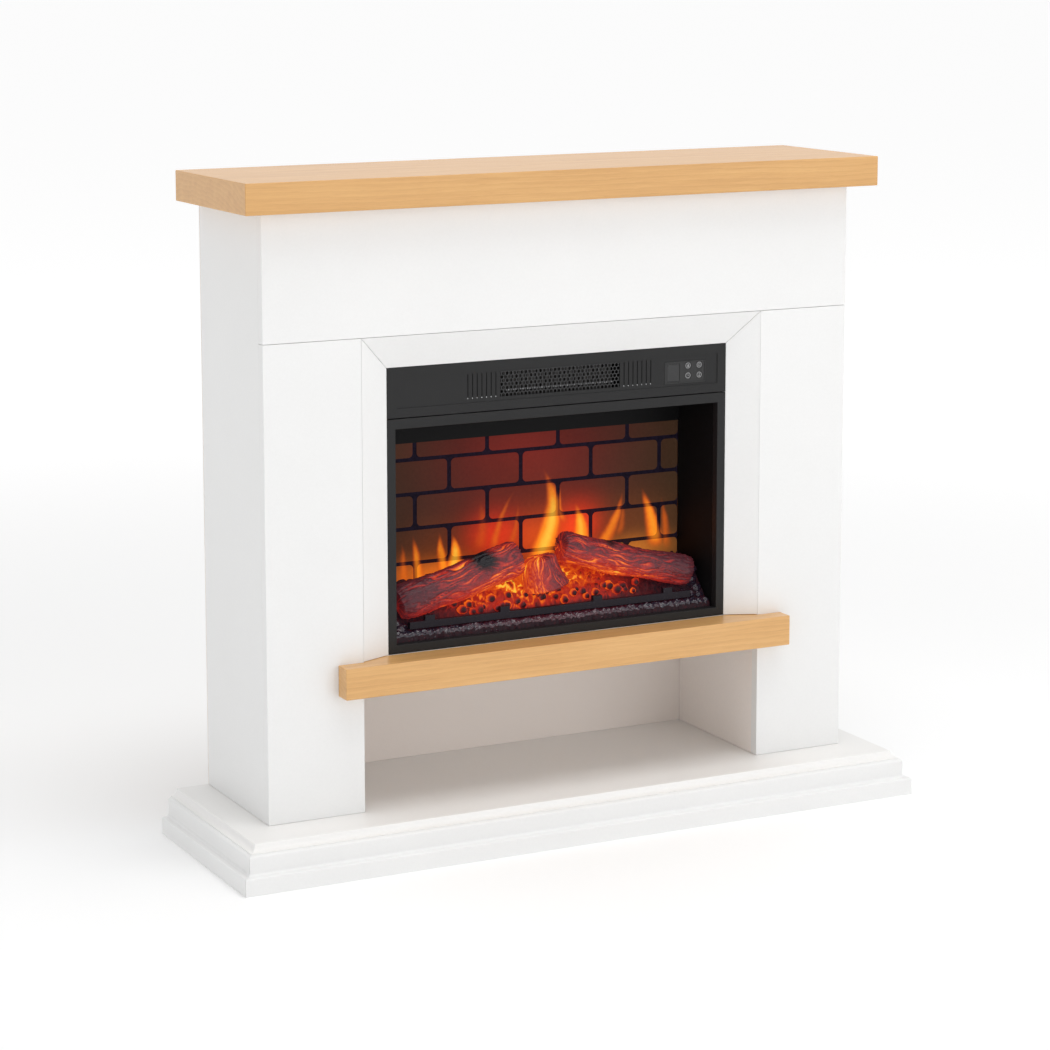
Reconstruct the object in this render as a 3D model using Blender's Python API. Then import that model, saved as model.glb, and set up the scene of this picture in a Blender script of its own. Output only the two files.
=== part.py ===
"""Electric fireplace: a painted surround with an oak mantel, and the electric fire in it.

Metres, +Z up. The front faces -Y. The origin is the bottom centre of the bounding box.
"""
import math

import bmesh
import bpy
from mathutils import Matrix, Vector

for old in list(bpy.data.objects):
    bpy.data.objects.remove(old, do_unlink=True)

# Driving dimensions of the surround
HEIGHT = 1.040
PLINTH_WIDTH = 1.171
DEPTH = 0.3495
PLINTH_HEIGHT = 0.070
PLINTH_STEP = 0.099          # plinth front edge to the face of the pillars
BODY_WIDTH = 1.014
MANTEL_WIDTH = 1.088
MANTEL_THICKNESS = 0.047
MANTEL_OVERHANG = 0.033      # in front of the pillars
JOINT_HEIGHT = 0.799         # bottom of the frieze
PILLAR_GAP = 0.697
BOARD = 0.016
HARDBOARD = 0.003
GAP = 0.0003

# Driving dimensions of the lower shelf and of the fire
SHELF_WIDTH = 0.782
SHELF_OVERHANG = 0.030
SHELF_TOP = 0.305
SHELF_THICKNESS = 0.0485
FIRE_WIDTH = 0.595
FIRE_HEIGHT = 0.443
FIRE_RECESS = 0.022          # fire face behind the face of the pillars
OPENING_WIDTH = 0.566
OPENING_BOTTOM = 0.3185
OPENING_TOP = 0.653
BAND_BOTTOM = 0.6695
FIREBOX_DEPTH = 0.124
CASE_DEPTH = 0.163
STEEL = 0.0012

# Levels that follow from them
BACK = DEPTH / 2
FACE = PLINTH_STEP - DEPTH / 2
FIRE_FACE = FACE + FIRE_RECESS
FIRE_TOP = SHELF_TOP + FIRE_HEIGHT
PANEL_BACK = BACK - HARDBOARD - GAP
BODY_TOP = HEIGHT - MANTEL_THICKNESS
SCREEN_FACE = FIRE_FACE + FIREBOX_DEPTH
CASE_BACK = FIRE_FACE + CASE_DEPTH


def material(name, color, roughness, metallic=0.0, glow=None):
    """Makes a Principled material."""
    made = bpy.data.materials.new(name)
    made.use_nodes = True
    shader = made.node_tree.nodes["Principled BSDF"]
    shader.inputs["Base Color"].default_value = (*color, 1.0)
    shader.inputs["Roughness"].default_value = roughness
    shader.inputs["Metallic"].default_value = metallic
    if glow:
        shader.inputs["Emission Color"].default_value = (*glow, 1.0)
        shader.inputs["Emission Strength"].default_value = 1.0
    return made


WHITE = (0.86, 0.86, 0.85)
OAK = (0.66, 0.40, 0.17)
BLACK = (0.03, 0.03, 0.032)
ZINC = (0.60, 0.61, 0.62)


def finish(mesh_maker, name, color, roughness, metallic=0.0, glow=None, bevel=0.0):
    """Turns a bmesh into a named object with its own material."""
    mesh = bpy.data.meshes.new(name)
    bmesh.ops.recalc_face_normals(mesh_maker, faces=mesh_maker.faces)
    mesh_maker.to_mesh(mesh)
    mesh_maker.free()
    made = bpy.data.objects.new(name, mesh)
    bpy.context.scene.collection.objects.link(made)
    mesh.materials.append(material(name, color, roughness, metallic, glow))
    if bevel:
        edge = made.modifiers.new("edge", "BEVEL")
        edge.width = bevel
        edge.segments = 1
        edge.limit_method = "ANGLE"
    return made


def box_mesh(x, y, z):
    """Makes a bmesh box from three (low, high) pairs."""
    made = bmesh.new()
    size = Vector((x[1] - x[0], y[1] - y[0], z[1] - z[0]))
    centre = Vector((x[0] + x[1], y[0] + y[1], z[0] + z[1])) / 2
    place = Matrix.Translation(centre) @ Matrix.Diagonal((*size, 1.0))
    bmesh.ops.create_cube(made, size=1.0, matrix=place)
    return made


def extruded(outline, low, high, axis):
    """Makes a bmesh prism: a closed outline of 2-D points, run from low to high along axis."""
    place = {
        "X": lambda p, t: (t, p[0], p[1]),
        "Y": lambda p, t: (p[0], t, p[1]),
        "Z": lambda p, t: (p[0], p[1], t),
    }[axis]
    made = bmesh.new()
    face = made.faces.new([made.verts.new(place(p, low)) for p in outline])
    grown = bmesh.ops.extrude_face_region(made, geom=[face])
    tops = [v for v in grown["geom"] if isinstance(v, bmesh.types.BMVert)]
    step = Vector(place((0.0, 0.0), high)) - Vector(place((0.0, 0.0), low))
    bmesh.ops.translate(made, vec=step, verts=tops)
    return made


def lofted(rings):
    """Joins rings of equal point counts into a closed skin with flat ends."""
    made = bmesh.new()
    rows = [[made.verts.new(p) for p in ring] for ring in rings]
    count = len(rows[0])
    for lower, upper in zip(rows, rows[1:]):
        for i in range(count):
            j = (i + 1) % count
            made.faces.new((lower[i], lower[j], upper[j], upper[i]))
    made.faces.new(rows[0])
    made.faces.new(rows[-1])
    return made


def cylinder_mesh(radius, length, centre, axis, sides=16):
    """Makes a bmesh cylinder about axis."""
    made = bmesh.new()
    turn = {"X": Matrix.Rotation(math.pi / 2, 4, "Y"), "Y": Matrix.Rotation(math.pi / 2, 4, "X"),
            "Z": Matrix.Identity(4)}[axis]
    bmesh.ops.create_cone(made, cap_ends=True, segments=sides, radius1=radius, radius2=radius,
                          depth=length, matrix=Matrix.Translation(centre) @ turn)
    return made


def cutter(mesh_maker, name):
    """Makes a guide object that only cuts others."""
    mesh = bpy.data.meshes.new(name)
    bmesh.ops.recalc_face_normals(mesh_maker, faces=mesh_maker.faces)
    mesh_maker.to_mesh(mesh)
    mesh_maker.free()
    made = bpy.data.objects.new(name, mesh)
    bpy.context.scene.collection.objects.link(made)
    made.hide_render = True
    made.display_type = "WIRE"
    return made


def cut(target, *makers, operation="DIFFERENCE"):
    """Cuts each bmesh out of target, or joins it on with operation UNION."""
    for number, maker in enumerate(makers):
        tool = cutter(maker, f"{target.name}.tool{number}.{len(target.modifiers)}")
        step = target.modifiers.new(operation.lower(), "BOOLEAN")
        step.operation = operation
        step.solver = "EXACT"
        step.object = tool


def mirrored(pair):
    """Swaps and negates a (low, high) pair."""
    return (-pair[1], -pair[0])


def board(name, x, y, z, color=WHITE, roughness=0.35, bevel=0.001, metallic=0.0):
    """Makes one board or plate as a box with small chamfers."""
    return finish(box_mesh(x, y, z), name, color, roughness, metallic, bevel=bevel)


# Surround ---------------------------------------------------------------------------------

def make_mantel():
    half = MANTEL_WIDTH / 2
    board("mantel_shelf", (-half, half), (FACE - MANTEL_OVERHANG, BACK), (BODY_TOP, HEIGHT),
          OAK, 0.42, bevel=0.0015)


def make_front_boards():
    half = BODY_WIDTH / 2
    inner = PILLAR_GAP / 2
    y = (FACE, FACE + BOARD)
    board("frieze_panel", (-half, half), y, (JOINT_HEIGHT + GAP, BODY_TOP - GAP))
    upright = (PLINTH_HEIGHT + GAP, JOINT_HEIGHT - GAP)
    board("left_pillar_panel", (-half, -inner), y, upright)
    board("right_pillar_panel", (inner, half), y, upright)


def make_carcass():
    half = BODY_WIDTH / 2
    inner = PILLAR_GAP / 2 + GAP
    depth = (FACE + BOARD + GAP, PANEL_BACK)
    height = (PLINTH_HEIGHT + GAP, BODY_TOP - GAP)
    outer_wall = (half - BOARD, half)
    niche_wall = (inner, inner + BOARD)
    board("left_side_panel", mirrored(outer_wall), depth, height)
    board("right_side_panel", outer_wall, depth, height)
    board("left_niche_wall", mirrored(niche_wall), depth, height, roughness=0.45)
    board("right_niche_wall", niche_wall, depth, height, roughness=0.45)
    span = (-inner + GAP, inner - GAP)
    board("insert_deck", span, (FIRE_FACE + GAP, PANEL_BACK),
          (SHELF_TOP - BOARD, SHELF_TOP - GAP), roughness=0.45)
    board("top_rail", span, (PANEL_BACK - BOARD, PANEL_BACK), (BODY_TOP - 0.070, BODY_TOP - GAP),
          (0.62, 0.50, 0.34), 0.7)


def make_back_panel():
    half = BODY_WIDTH / 2
    panel = board("back_panel", (-half, half), (BACK - HARDBOARD, BACK),
                  (PLINTH_HEIGHT + GAP, BODY_TOP - GAP), (0.36, 0.24, 0.14), 0.75, bevel=0.0)
    y = (BACK - 0.02, BACK + 0.02)
    cut(panel, box_mesh((-0.275, 0.275), y, (0.345, 0.735)),
        cylinder_mesh(0.022, 0.05, (0.425, BACK, 0.130), "Y", sides=20))


def make_lower_shelf():
    """The front runs across the pillars; a tongue goes back between them."""
    half = SHELF_WIDTH / 2
    tongue = PILLAR_GAP / 2 - GAP
    front = FACE - SHELF_OVERHANG
    shoulder = FACE - GAP
    back = FIRE_FACE - GAP
    outline = [(-half, front), (half, front), (half, shoulder), (tongue, shoulder),
               (tongue, back), (-tongue, back), (-tongue, shoulder), (-half, shoulder)]
    finish(extruded(outline, SHELF_TOP - SHELF_THICKNESS, SHELF_TOP - GAP, "Z"),
           "lower_shelf", OAK, 0.42, bevel=0.0012)


def make_splays():
    """Three splayed boards, mitred where they meet. Each ring is one mitred end."""
    inner = FIRE_WIDTH / 2
    width = PILLAR_GAP / 2 - inner
    section = [(GAP, 0.0), (width, FIRE_RECESS), (width, FIRE_RECESS + 0.012), (GAP, BOARD)]
    outer = PILLAR_GAP / 2

    def end(side):
        return [(side * (outer - u), FACE + y, JOINT_HEIGHT - u) for u, y in section]

    finish(lofted([end(-1), end(1)]), "splay_top", WHITE, 0.35)
    for name, side in (("splay_left", -1), ("splay_right", 1)):
        top = [(x, y, z - 2 * GAP) for x, y, z in end(side)]
        foot = [(x, y, SHELF_TOP + GAP) for x, y, z in top]
        finish(lofted([foot, top]), name, WHITE, 0.35)


# Plinth -----------------------------------------------------------------------------------

TIER_TOP = 0.0573
BASE_TOP = 0.0270
STRIP = 0.033                # plinth edge to the inner side of the strips


def make_hearth_board():
    """A flat board with an ogee edge on the front and both ends: (inset, height) pairs."""
    low = TIER_TOP + GAP
    profile = [(0.0160, low), (0.0160, low + 0.0012), (0.0188, low + 0.0018), (0.0218, low + 0.0034),
               (0.0240, low + 0.0062), (0.0250, low + 0.0094), (0.0258, PLINTH_HEIGHT - 0.0010),
               (0.0268, PLINTH_HEIGHT)]
    rings = []
    for inset, z in profile:
        x = PLINTH_WIDTH / 2 - inset
        y = inset - DEPTH / 2
        rings.append([(-x, y, z), (x, y, z), (x, BACK, z), (-x, BACK, z)])
    finish(lofted(rings), "hearth_board", WHITE, 0.35)


def make_mouldings(stem, profile):
    """Runs an (inset, height) profile along the front and both ends, mitred at the corners."""
    x = PLINTH_WIDTH / 2
    front = -DEPTH / 2
    ends = [[(side * (x - inset), front + inset, z) for inset, z in profile] for side in (-1, 1)]
    finish(lofted(ends), f"{stem}_front", WHITE, 0.35)
    for name, end in ((f"{stem}_left", ends[0]), (f"{stem}_right", ends[1])):
        mitre = [(px, py + 2 * GAP, pz) for px, py, pz in end]
        square = [(px, BACK, pz) for px, py, pz in end]
        finish(lofted([mitre, square]), name, WHITE, 0.35)


def make_plinth():
    make_hearth_board()
    make_mouldings("tier", [(0.0110, BASE_TOP + GAP), (0.0110, 0.0540), (0.0120, 0.0556),
                            (0.0150, TIER_TOP), (STRIP, TIER_TOP), (STRIP, BASE_TOP + GAP)])
    make_mouldings("base", [(0.0, 0.0), (0.0, BASE_TOP - 0.0030), (0.0009, BASE_TOP - 0.0009),
                            (0.0030, BASE_TOP), (STRIP, BASE_TOP), (STRIP, 0.0)])
    half = PLINTH_WIDTH / 2 - STRIP - GAP
    board("base_rear", (-half, half), (BACK - 0.022, BACK), (0.0, TIER_TOP))


# Electric fire: case and front --------------------------------------------------------------

CASE_HALF = 0.291
CASE_LOW = SHELF_TOP + GAP
CASE_HIGH = FIRE_TOP - 0.0015
CASE_FRONT = FIRE_FACE + 0.0145


def make_case():
    """Folded steel: a sleeve open at the front and closed by a separate back."""
    y = (CASE_FRONT, CASE_BACK)
    sleeve = board("insert_case", (-CASE_HALF, CASE_HALF), y, (CASE_LOW, CASE_HIGH),
                   ZINC, 0.45, bevel=0.0, metallic=0.8)
    wall = CASE_HALF - STEEL
    cut(sleeve, box_mesh((-wall, wall), (CASE_FRONT - 0.01, CASE_BACK + 0.01),
                         (CASE_LOW + STEEL, CASE_HIGH - STEEL)))
    back = board("insert_back", (-CASE_HALF, CASE_HALF), (CASE_BACK + GAP, CASE_BACK + 0.0015),
                 (CASE_LOW, CASE_HIGH), ZINC, 0.45, bevel=0.0, metallic=0.8)
    through = (CASE_BACK - 0.01, CASE_BACK + 0.01)
    slots = [box_mesh((x - 0.0025, x + 0.0025), through, (0.690, 0.730))
             for x in (i * 0.016 - 0.120 for i in range(16))]
    cut(back, *slots, cylinder_mesh(0.0075, 0.05, (0.240, CASE_BACK, 0.340), "Y", sides=20))


BAND_FRONT = FIRE_FACE
PANEL_LOW = 0.6845
PANEL_HIGH = 0.7325
GRILLE_HALF = 0.105
GRILLE_LOW = 0.6905
GRILLE_HIGH = 0.7295
POD_X = (0.186, 0.261)
POD_Z = (0.688, 0.724)


def make_band():
    """The top band: a shallow panel, the outlet, seven louvres a side and the pod's pocket."""
    half = FIRE_WIDTH / 2 - GAP
    band = board("fascia_band", (-half, half), (BAND_FRONT, BAND_FRONT + 0.004),
                 (BAND_BOTTOM + 0.0008, FIRE_TOP - GAP), BLACK, 0.5, bevel=0.0)
    shallow = (BAND_FRONT - 0.01, BAND_FRONT + 0.0010)
    through = (BAND_FRONT - 0.02, BAND_FRONT + 0.02)
    louvres = []
    for side in (-1, 1):
        for i in range(7):
            x = side * (0.1125 + i * 0.0080)
            louvres.append(box_mesh((x - 0.0013, x + 0.0013), through, (GRILLE_LOW, GRILLE_HIGH)))
    cut(band, box_mesh((-0.2820, 0.2820), shallow, (PANEL_LOW, PANEL_HIGH)),
        box_mesh((-GRILLE_HALF, GRILLE_HALF), through, (GRILLE_LOW, GRILLE_HIGH)),
        box_mesh(POD_X, through, POD_Z), *louvres)


def make_grille():
    """Perforated sheet in the outlet: staggered square holes on their points."""
    y = (BAND_FRONT + 0.0020, BAND_FRONT + 0.0032)
    sheet = board("mesh_grille", (-GRILLE_HALF + GAP, GRILLE_HALF - GAP), y,
                  (GRILLE_LOW + GAP, GRILLE_HIGH - GAP), BLACK, 0.4, bevel=0.0, metallic=0.5)
    pitch = 0.0125
    centre_z = (GRILLE_LOW + GRILLE_HIGH) / 2
    holes = []
    for row in range(-1, 2):
        shift = pitch / 2 if row % 2 else 0.0
        for column in range(-7, 8):
            x = column * pitch + shift
            if abs(x) < GRILLE_HALF - pitch / 2:
                holes.append(cylinder_mesh(0.0050, 0.02, (x, y[0], centre_z + row * 0.0115), "Y", 6))
    cut(sheet, *holes)


BUTTONS = {
    "button_flame": (0.2290, 0.7160),
    "button_power": (0.2495, 0.7160),
    "button_timer": (0.2290, 0.7000),
    "button_heat": (0.2495, 0.7000),
}
POD_FRONT = BAND_FRONT + 0.0008
POD_BACK = BAND_FRONT + 0.0090
BUTTON_RADIUS = 0.0054
BUTTON_FRONT = POD_FRONT + 0.0008
BUTTON_BACK = POD_FRONT + 0.0066
WINDOW_X = (0.1910, 0.2135)
WINDOW_Z = (0.6920, 0.7195)


def make_controls():
    """The pod with its display window, and four buttons that press in."""
    x = (POD_X[0] + GAP, POD_X[1] - GAP)
    z = (POD_Z[0] + GAP, POD_Z[1] - GAP)
    pod = board("control_pod", x, (POD_FRONT, POD_BACK), z, BLACK, 0.4, bevel=0.0006)
    dish = box_mesh((x[0] + 0.002, x[1] - 0.002), (POD_FRONT - 0.01, POD_FRONT + 0.0010),
                    (z[0] + 0.002, z[1] - 0.002))
    pocket = box_mesh(WINDOW_X, (POD_FRONT - 0.01, POD_FRONT + 0.0028), WINDOW_Z)
    holes = [cylinder_mesh(BUTTON_RADIUS + GAP, 0.05, (bx, POD_FRONT, bz), "Y", 20)
             for bx, bz in BUTTONS.values()]
    cut(pod, dish, pocket, *holes)
    board("display_window", (WINDOW_X[0] + GAP, WINDOW_X[1] - GAP),
          (POD_FRONT + 0.0011, POD_FRONT + 0.0025), (WINDOW_Z[0] + GAP, WINDOW_Z[1] - GAP),
          (0.01, 0.01, 0.012), 0.15, bevel=0.0003)
    length = BUTTON_BACK - BUTTON_FRONT
    for name, (bx, bz) in BUTTONS.items():
        key = finish(cylinder_mesh(BUTTON_RADIUS, length, (0.0, 0.0, 0.0), "Y", 20),
                     name, (0.10, 0.10, 0.10), 0.4, bevel=0.0004)
        key.location = (bx, (BUTTON_FRONT + BUTTON_BACK) / 2, bz)
    board("control_board", (0.170, 0.272), (POD_BACK + GAP, POD_BACK + 0.0019), (0.682, 0.730),
          (0.02, 0.16, 0.07), 0.5, bevel=0.0)


def make_fire_frame():
    """A black frame round the opening, as deep as its folded edges."""
    half = FIRE_WIDTH / 2 - GAP
    ring = board("fire_frame", (-half, half), (FIRE_FACE, FIRE_FACE + 0.014),
                 (SHELF_TOP + GAP, BAND_BOTTOM - 0.0008), BLACK, 0.5, bevel=0.0)
    hole = OPENING_WIDTH / 2
    cut(ring, box_mesh((-hole, hole), (FIRE_FACE - 0.02, FIRE_FACE + 0.03),
                       (OPENING_BOTTOM, OPENING_TOP)))


# Electric fire: inside ----------------------------------------------------------------------

LINER_FRONT = CASE_FRONT + GAP
FLOOR = CASE_LOW + STEEL + GAP


def make_firebox():
    """Side liners, the header over the opening, and the brick-printed screen at the back."""
    inner = OPENING_WIDTH / 2
    liner = (inner + GAP, inner + 0.0022)
    y = (LINER_FRONT, SCREEN_FACE - GAP)
    z = (FLOOR, OPENING_TOP)
    board("left_liner", mirrored(liner), y, z, BLACK, 0.55, bevel=0.0)
    board("right_liner", liner, y, z, BLACK, 0.55, bevel=0.0)
    lip = SCREEN_FACE - 0.002
    low = 0.607
    shelf = OPENING_TOP + GAP
    outline = [(LINER_FRONT, shelf), (LINER_FRONT, shelf + STEEL), (lip + STEEL, shelf + STEEL),
               (lip + STEEL, low), (lip, low), (lip, shelf)]
    finish(extruded(outline, -inner, inner, "X"), "header_baffle", BLACK, 0.5)
    board("brick_screen", (-inner + GAP, inner - GAP), (SCREEN_FACE, SCREEN_FACE + 0.003),
          (FLOOR, 0.640), (0.20, 0.05, 0.03), 0.5, bevel=0.0)


LOGS = {
    "log_left": ((-0.258, 0.052, 0.371), (-0.050, 0.056, 0.424), 0.0275, 0.0240),
    "log_middle": ((-0.013, 0.046, 0.414), (-0.004, 0.043, 0.372), 0.0205, 0.0235),
    "log_right": ((0.018, 0.054, 0.439), (0.262, 0.050, 0.373), 0.0215, 0.0235),
}


def log_mesh(start, end, start_radius, end_radius, swell=0.0):
    """A gnarled branch: ten-sided rings along a slightly bowed axis. Its y is from the fire's face."""
    start = Vector(start) + Vector((0.0, FIRE_FACE, 0.0))
    end = Vector(end) + Vector((0.0, FIRE_FACE, 0.0))
    along = (end - start).normalized()
    start = start - along * swell
    end = end + along * swell
    across = along.cross(Vector((0.0, 1.0, 0.0))).normalized()
    outward = across.cross(along)
    steps = 6
    rings = []
    for i in range(steps + 1):
        t = i / steps
        radius = start_radius + (end_radius - start_radius) * t + swell
        centre = start.lerp(end, t) + across * (-0.004 * math.sin(math.pi * t))
        ring = []
        for k in range(10):
            angle = 2 * math.pi * k / 10
            bump = 1.0 + 0.06 * math.sin(3 * angle + 4 * t) + 0.04 * math.sin(5 * angle - 7 * t)
            ring.append(centre + (across * math.cos(angle) + outward * math.sin(angle)) * radius * bump)
        rings.append(ring)
    made = lofted(rings)
    # Twisted quads are split the same way in a log and in the nest cut for it.
    twisted = [face for face in made.faces if len(face.verts) == 4]
    bmesh.ops.triangulate(made, faces=twisted, quad_method="FIXED")
    return made


def make_fuel():
    """Logs half sunk in the ember bed, and the grate bar in front of them."""
    for name, shape in LOGS.items():
        finish(log_mesh(*shape), name, (0.20, 0.05, 0.03), 0.8, glow=(0.9, 0.15, 0.02))
    half = OPENING_WIDTH / 2 - 0.001
    slope = [(0.0155, FLOOR), (0.0155, 0.3240), (0.0200, 0.3300), (0.0400, 0.3305), (0.0440, 0.3520),
             (0.0560, 0.3680), (0.0800, 0.3860), (0.1220, 0.3980), (0.1220, FLOOR)]
    outline = [(FIRE_FACE + y, z) for y, z in slope]
    bed = finish(extruded(outline, -half, half, "X"), "ember_bed", (0.12, 0.03, 0.02), 0.85,
                 glow=(1.0, 0.25, 0.03))
    nests = [log_mesh(*shape, swell=0.0006) for shape in LOGS.values()]
    hollow = box_mesh((-0.270, 0.270), (FIRE_FACE + 0.074, FIRE_FACE + 0.116), (FLOOR - 0.01, 0.340))
    cut(bed, *nests, hollow)
    board("ember_led_strip", (-0.258, 0.258), (FIRE_FACE + 0.086, FIRE_FACE + 0.104),
          (FLOOR, FLOOR + 0.0016), (0.80, 0.80, 0.72), 0.5, bevel=0.0)


def make_grate():
    """A low bar on two feet with four stubs along it."""
    y = (FIRE_FACE + 0.0240, FIRE_FACE + 0.0320)
    bar = board("grate_bar", (-0.250, 0.250), y, (0.3365, 0.3455), (0.05, 0.04, 0.05), 0.6, bevel=0.0)
    feet = [box_mesh((x - 0.006, x + 0.006), (y[0] + 0.001, y[1] - 0.001), (0.3308, 0.3380))
            for x in (-0.235, 0.235)]
    stubs = [box_mesh((x - 0.005, x + 0.005), (y[0] + 0.001, y[1] - 0.001), (0.3440, 0.3580))
             for x in (-0.215, -0.085, 0.075, 0.200)]
    cut(bar, *feet, *stubs, operation="UNION")


SHAFT_RADIUS = 0.0030


def shaft_hole(length, x, y, z):
    """A cutter along X that leaves a shaft its running clearance."""
    return cylinder_mesh(SHAFT_RADIUS + GAP, length, (x, y, z), "X", 16)


SPINDLE_Y = FIRE_FACE + 0.1440
SPINDLE_Z = 0.4050
SPINDLE_HALF = 0.235


def make_flame_drive():
    """A spindle of reflecting paddles turns behind the screen, lit from below."""
    spindle = finish(cylinder_mesh(SHAFT_RADIUS, 2 * SPINDLE_HALF, (0.0, 0.0, 0.0), "X", 10),
                     "flame_spindle", (0.75, 0.75, 0.76), 0.2, 0.9)
    spindle.location = (0.0, SPINDLE_Y, SPINDLE_Z)
    paddles = []
    for i in range(9):
        maker = box_mesh((-0.016, 0.016), (-0.0125, 0.0125), (-0.0005, 0.0005))
        turn = Matrix.Rotation(math.radians(50 * i), 4, "X")
        place = Matrix.Translation((i * 0.048 - 0.192, SPINDLE_Y, SPINDLE_Z)) @ turn
        bmesh.ops.transform(maker, matrix=place, verts=maker.verts)
        paddles.append(maker)
    cut(spindle, *paddles, operation="UNION")
    bearing = board("spindle_bearing", (-0.246, -0.232), (SPINDLE_Y - 0.014, CASE_BACK - GAP),
                    (SPINDLE_Z - 0.018, SPINDLE_Z + 0.014), (0.85, 0.85, 0.83), 0.5, bevel=0.0)
    cut(bearing, shaft_hole(0.0082, -0.2341, SPINDLE_Y, SPINDLE_Z))
    motor = finish(cylinder_mesh(0.0165, 0.024, (SPINDLE_HALF + 0.0105, SPINDLE_Y, SPINDLE_Z), "X", 20),
                   "spindle_motor", ZINC, 0.4, 0.8)
    cut(motor, shaft_hole(0.0082, SPINDLE_HALF - 0.0009, SPINDLE_Y, SPINDLE_Z))
    board("flame_led_board", (-0.225, 0.225), (SCREEN_FACE + 0.006, CASE_BACK - 0.006),
          (0.3560, 0.3576), (0.80, 0.80, 0.72), 0.5, bevel=0.0)


WHEEL_Y = FIRE_FACE + 0.078
WHEEL_Z = 0.7110
WHEEL_RADIUS = 0.0190
DUCT_HALF = 0.112


DUCT_LOW = 0.6720
DUCT_WALL = 0.0014


def make_duct():
    """The hot-air duct: open at the front, with the wheel's shaft holes in its ends."""
    back = WHEEL_Y + 0.030
    high = CASE_HIGH - STEEL - GAP
    duct = board("heater_duct", (-DUCT_HALF, DUCT_HALF), (LINER_FRONT, back), (DUCT_LOW, high),
                 BLACK, 0.6, bevel=0.0)
    side = DUCT_HALF - DUCT_WALL
    room = box_mesh((-side, side), (LINER_FRONT - 0.02, back - DUCT_WALL),
                    (DUCT_LOW + DUCT_WALL, high - DUCT_WALL))
    intake = box_mesh((-0.095, 0.095), (WHEEL_Y - 0.012, WHEEL_Y + 0.012),
                      (DUCT_LOW - 0.01, DUCT_LOW + 0.01))
    cut(duct, room, intake, shaft_hole(0.30, 0.0, WHEEL_Y, WHEEL_Z))


def make_blower():
    """A long ribbed wheel on a shaft, its motor at one end, and the heater in front of it."""
    outline = []
    for i in range(32):
        radius = WHEEL_RADIUS if i % 2 else WHEEL_RADIUS * 0.80
        angle = 2 * math.pi * i / 32
        outline.append((radius * math.cos(angle), radius * math.sin(angle)))
    wheel = finish(extruded(outline, -0.098, 0.098, "X"), "blower_wheel", ZINC, 0.4, 0.7)
    wheel.location = (0.0, WHEEL_Y, WHEEL_Z)
    cut(wheel, cylinder_mesh(SHAFT_RADIUS, 0.236, (0.0, WHEEL_Y, WHEEL_Z), "X", 12), operation="UNION")
    motor = finish(cylinder_mesh(0.0260, 0.036, (DUCT_HALF + 0.0183, WHEEL_Y, WHEEL_Z), "X", 24),
                   "blower_motor", (0.12, 0.12, 0.13), 0.45, 0.5)
    cut(motor, shaft_hole(0.016, DUCT_HALF, WHEEL_Y, WHEEL_Z))
    low = DUCT_LOW + DUCT_WALL + GAP
    fins = []
    for i in range(24):
        x = i * 0.0084 - 0.0994
        fins += [(x, 0.0), (x + 0.0020, 0.0), (x + 0.0020, 0.006), (x + 0.0084, 0.006)]
    outline = [(x, LINER_FRONT + 0.004 + y) for x, y in fins]
    outline += [(0.1026, LINER_FRONT + 0.016), (-0.0994, LINER_FRONT + 0.016)]
    finish(extruded(outline, low, low + 0.060, "Z"), "heater_element", (0.045, 0.042, 0.040), 0.6)


def make_gland():
    """The cable inlet: a flange outside the back, a barrel through it, and a bore."""
    centre = Vector((0.240, CASE_BACK + 0.0060, 0.340))
    gland = finish(cylinder_mesh(0.0105, 0.0080, centre, "Y", 20), "cable_gland", BLACK, 0.6)
    barrel = cylinder_mesh(0.0070, 0.014, centre - Vector((0.0, 0.0070, 0.0)), "Y", 20)
    bore = cylinder_mesh(0.0038, 0.05, centre, "Y", 16)
    cut(gland, barrel, operation="UNION")
    cut(gland, bore)


def make_lugs():
    """Angle lugs from the case's sides to the deck, each with a screw."""
    y = (FACE + 0.090, FACE + 0.130)
    low = CASE_LOW
    root = CASE_HALF + GAP
    for side, name in ((-1, "left_lug"), (1, "right_lug")):
        outline = [(side * px, pz) for px, pz in (
            (root, low), (root + 0.034, low), (root + 0.034, low + 0.0015),
            (root + 0.0015, low + 0.0015), (root + 0.0015, low + 0.035), (root, low + 0.035))]
        finish(extruded(outline, y[0], y[1], "Y"), name, ZINC, 0.4, 0.8)
        head = (side * (root + 0.020), (y[0] + y[1]) / 2, low + 0.0015 + GAP + 0.0012)
        finish(cylinder_mesh(0.0045, 0.0024, head, "Z", 12), f"{name}_screw", ZINC, 0.35, 0.9)


def main():
    make_mantel()
    make_front_boards()
    make_carcass()
    make_back_panel()
    make_lower_shelf()
    make_splays()
    make_plinth()
    make_case()
    make_band()
    make_grille()
    make_controls()
    make_fire_frame()
    make_firebox()
    make_fuel()
    make_grate()
    make_flame_drive()
    make_duct()
    make_blower()
    make_gland()
    make_lugs()


main()
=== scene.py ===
import bpy
import math
import random
from mathutils import Matrix, Vector, noise


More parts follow.
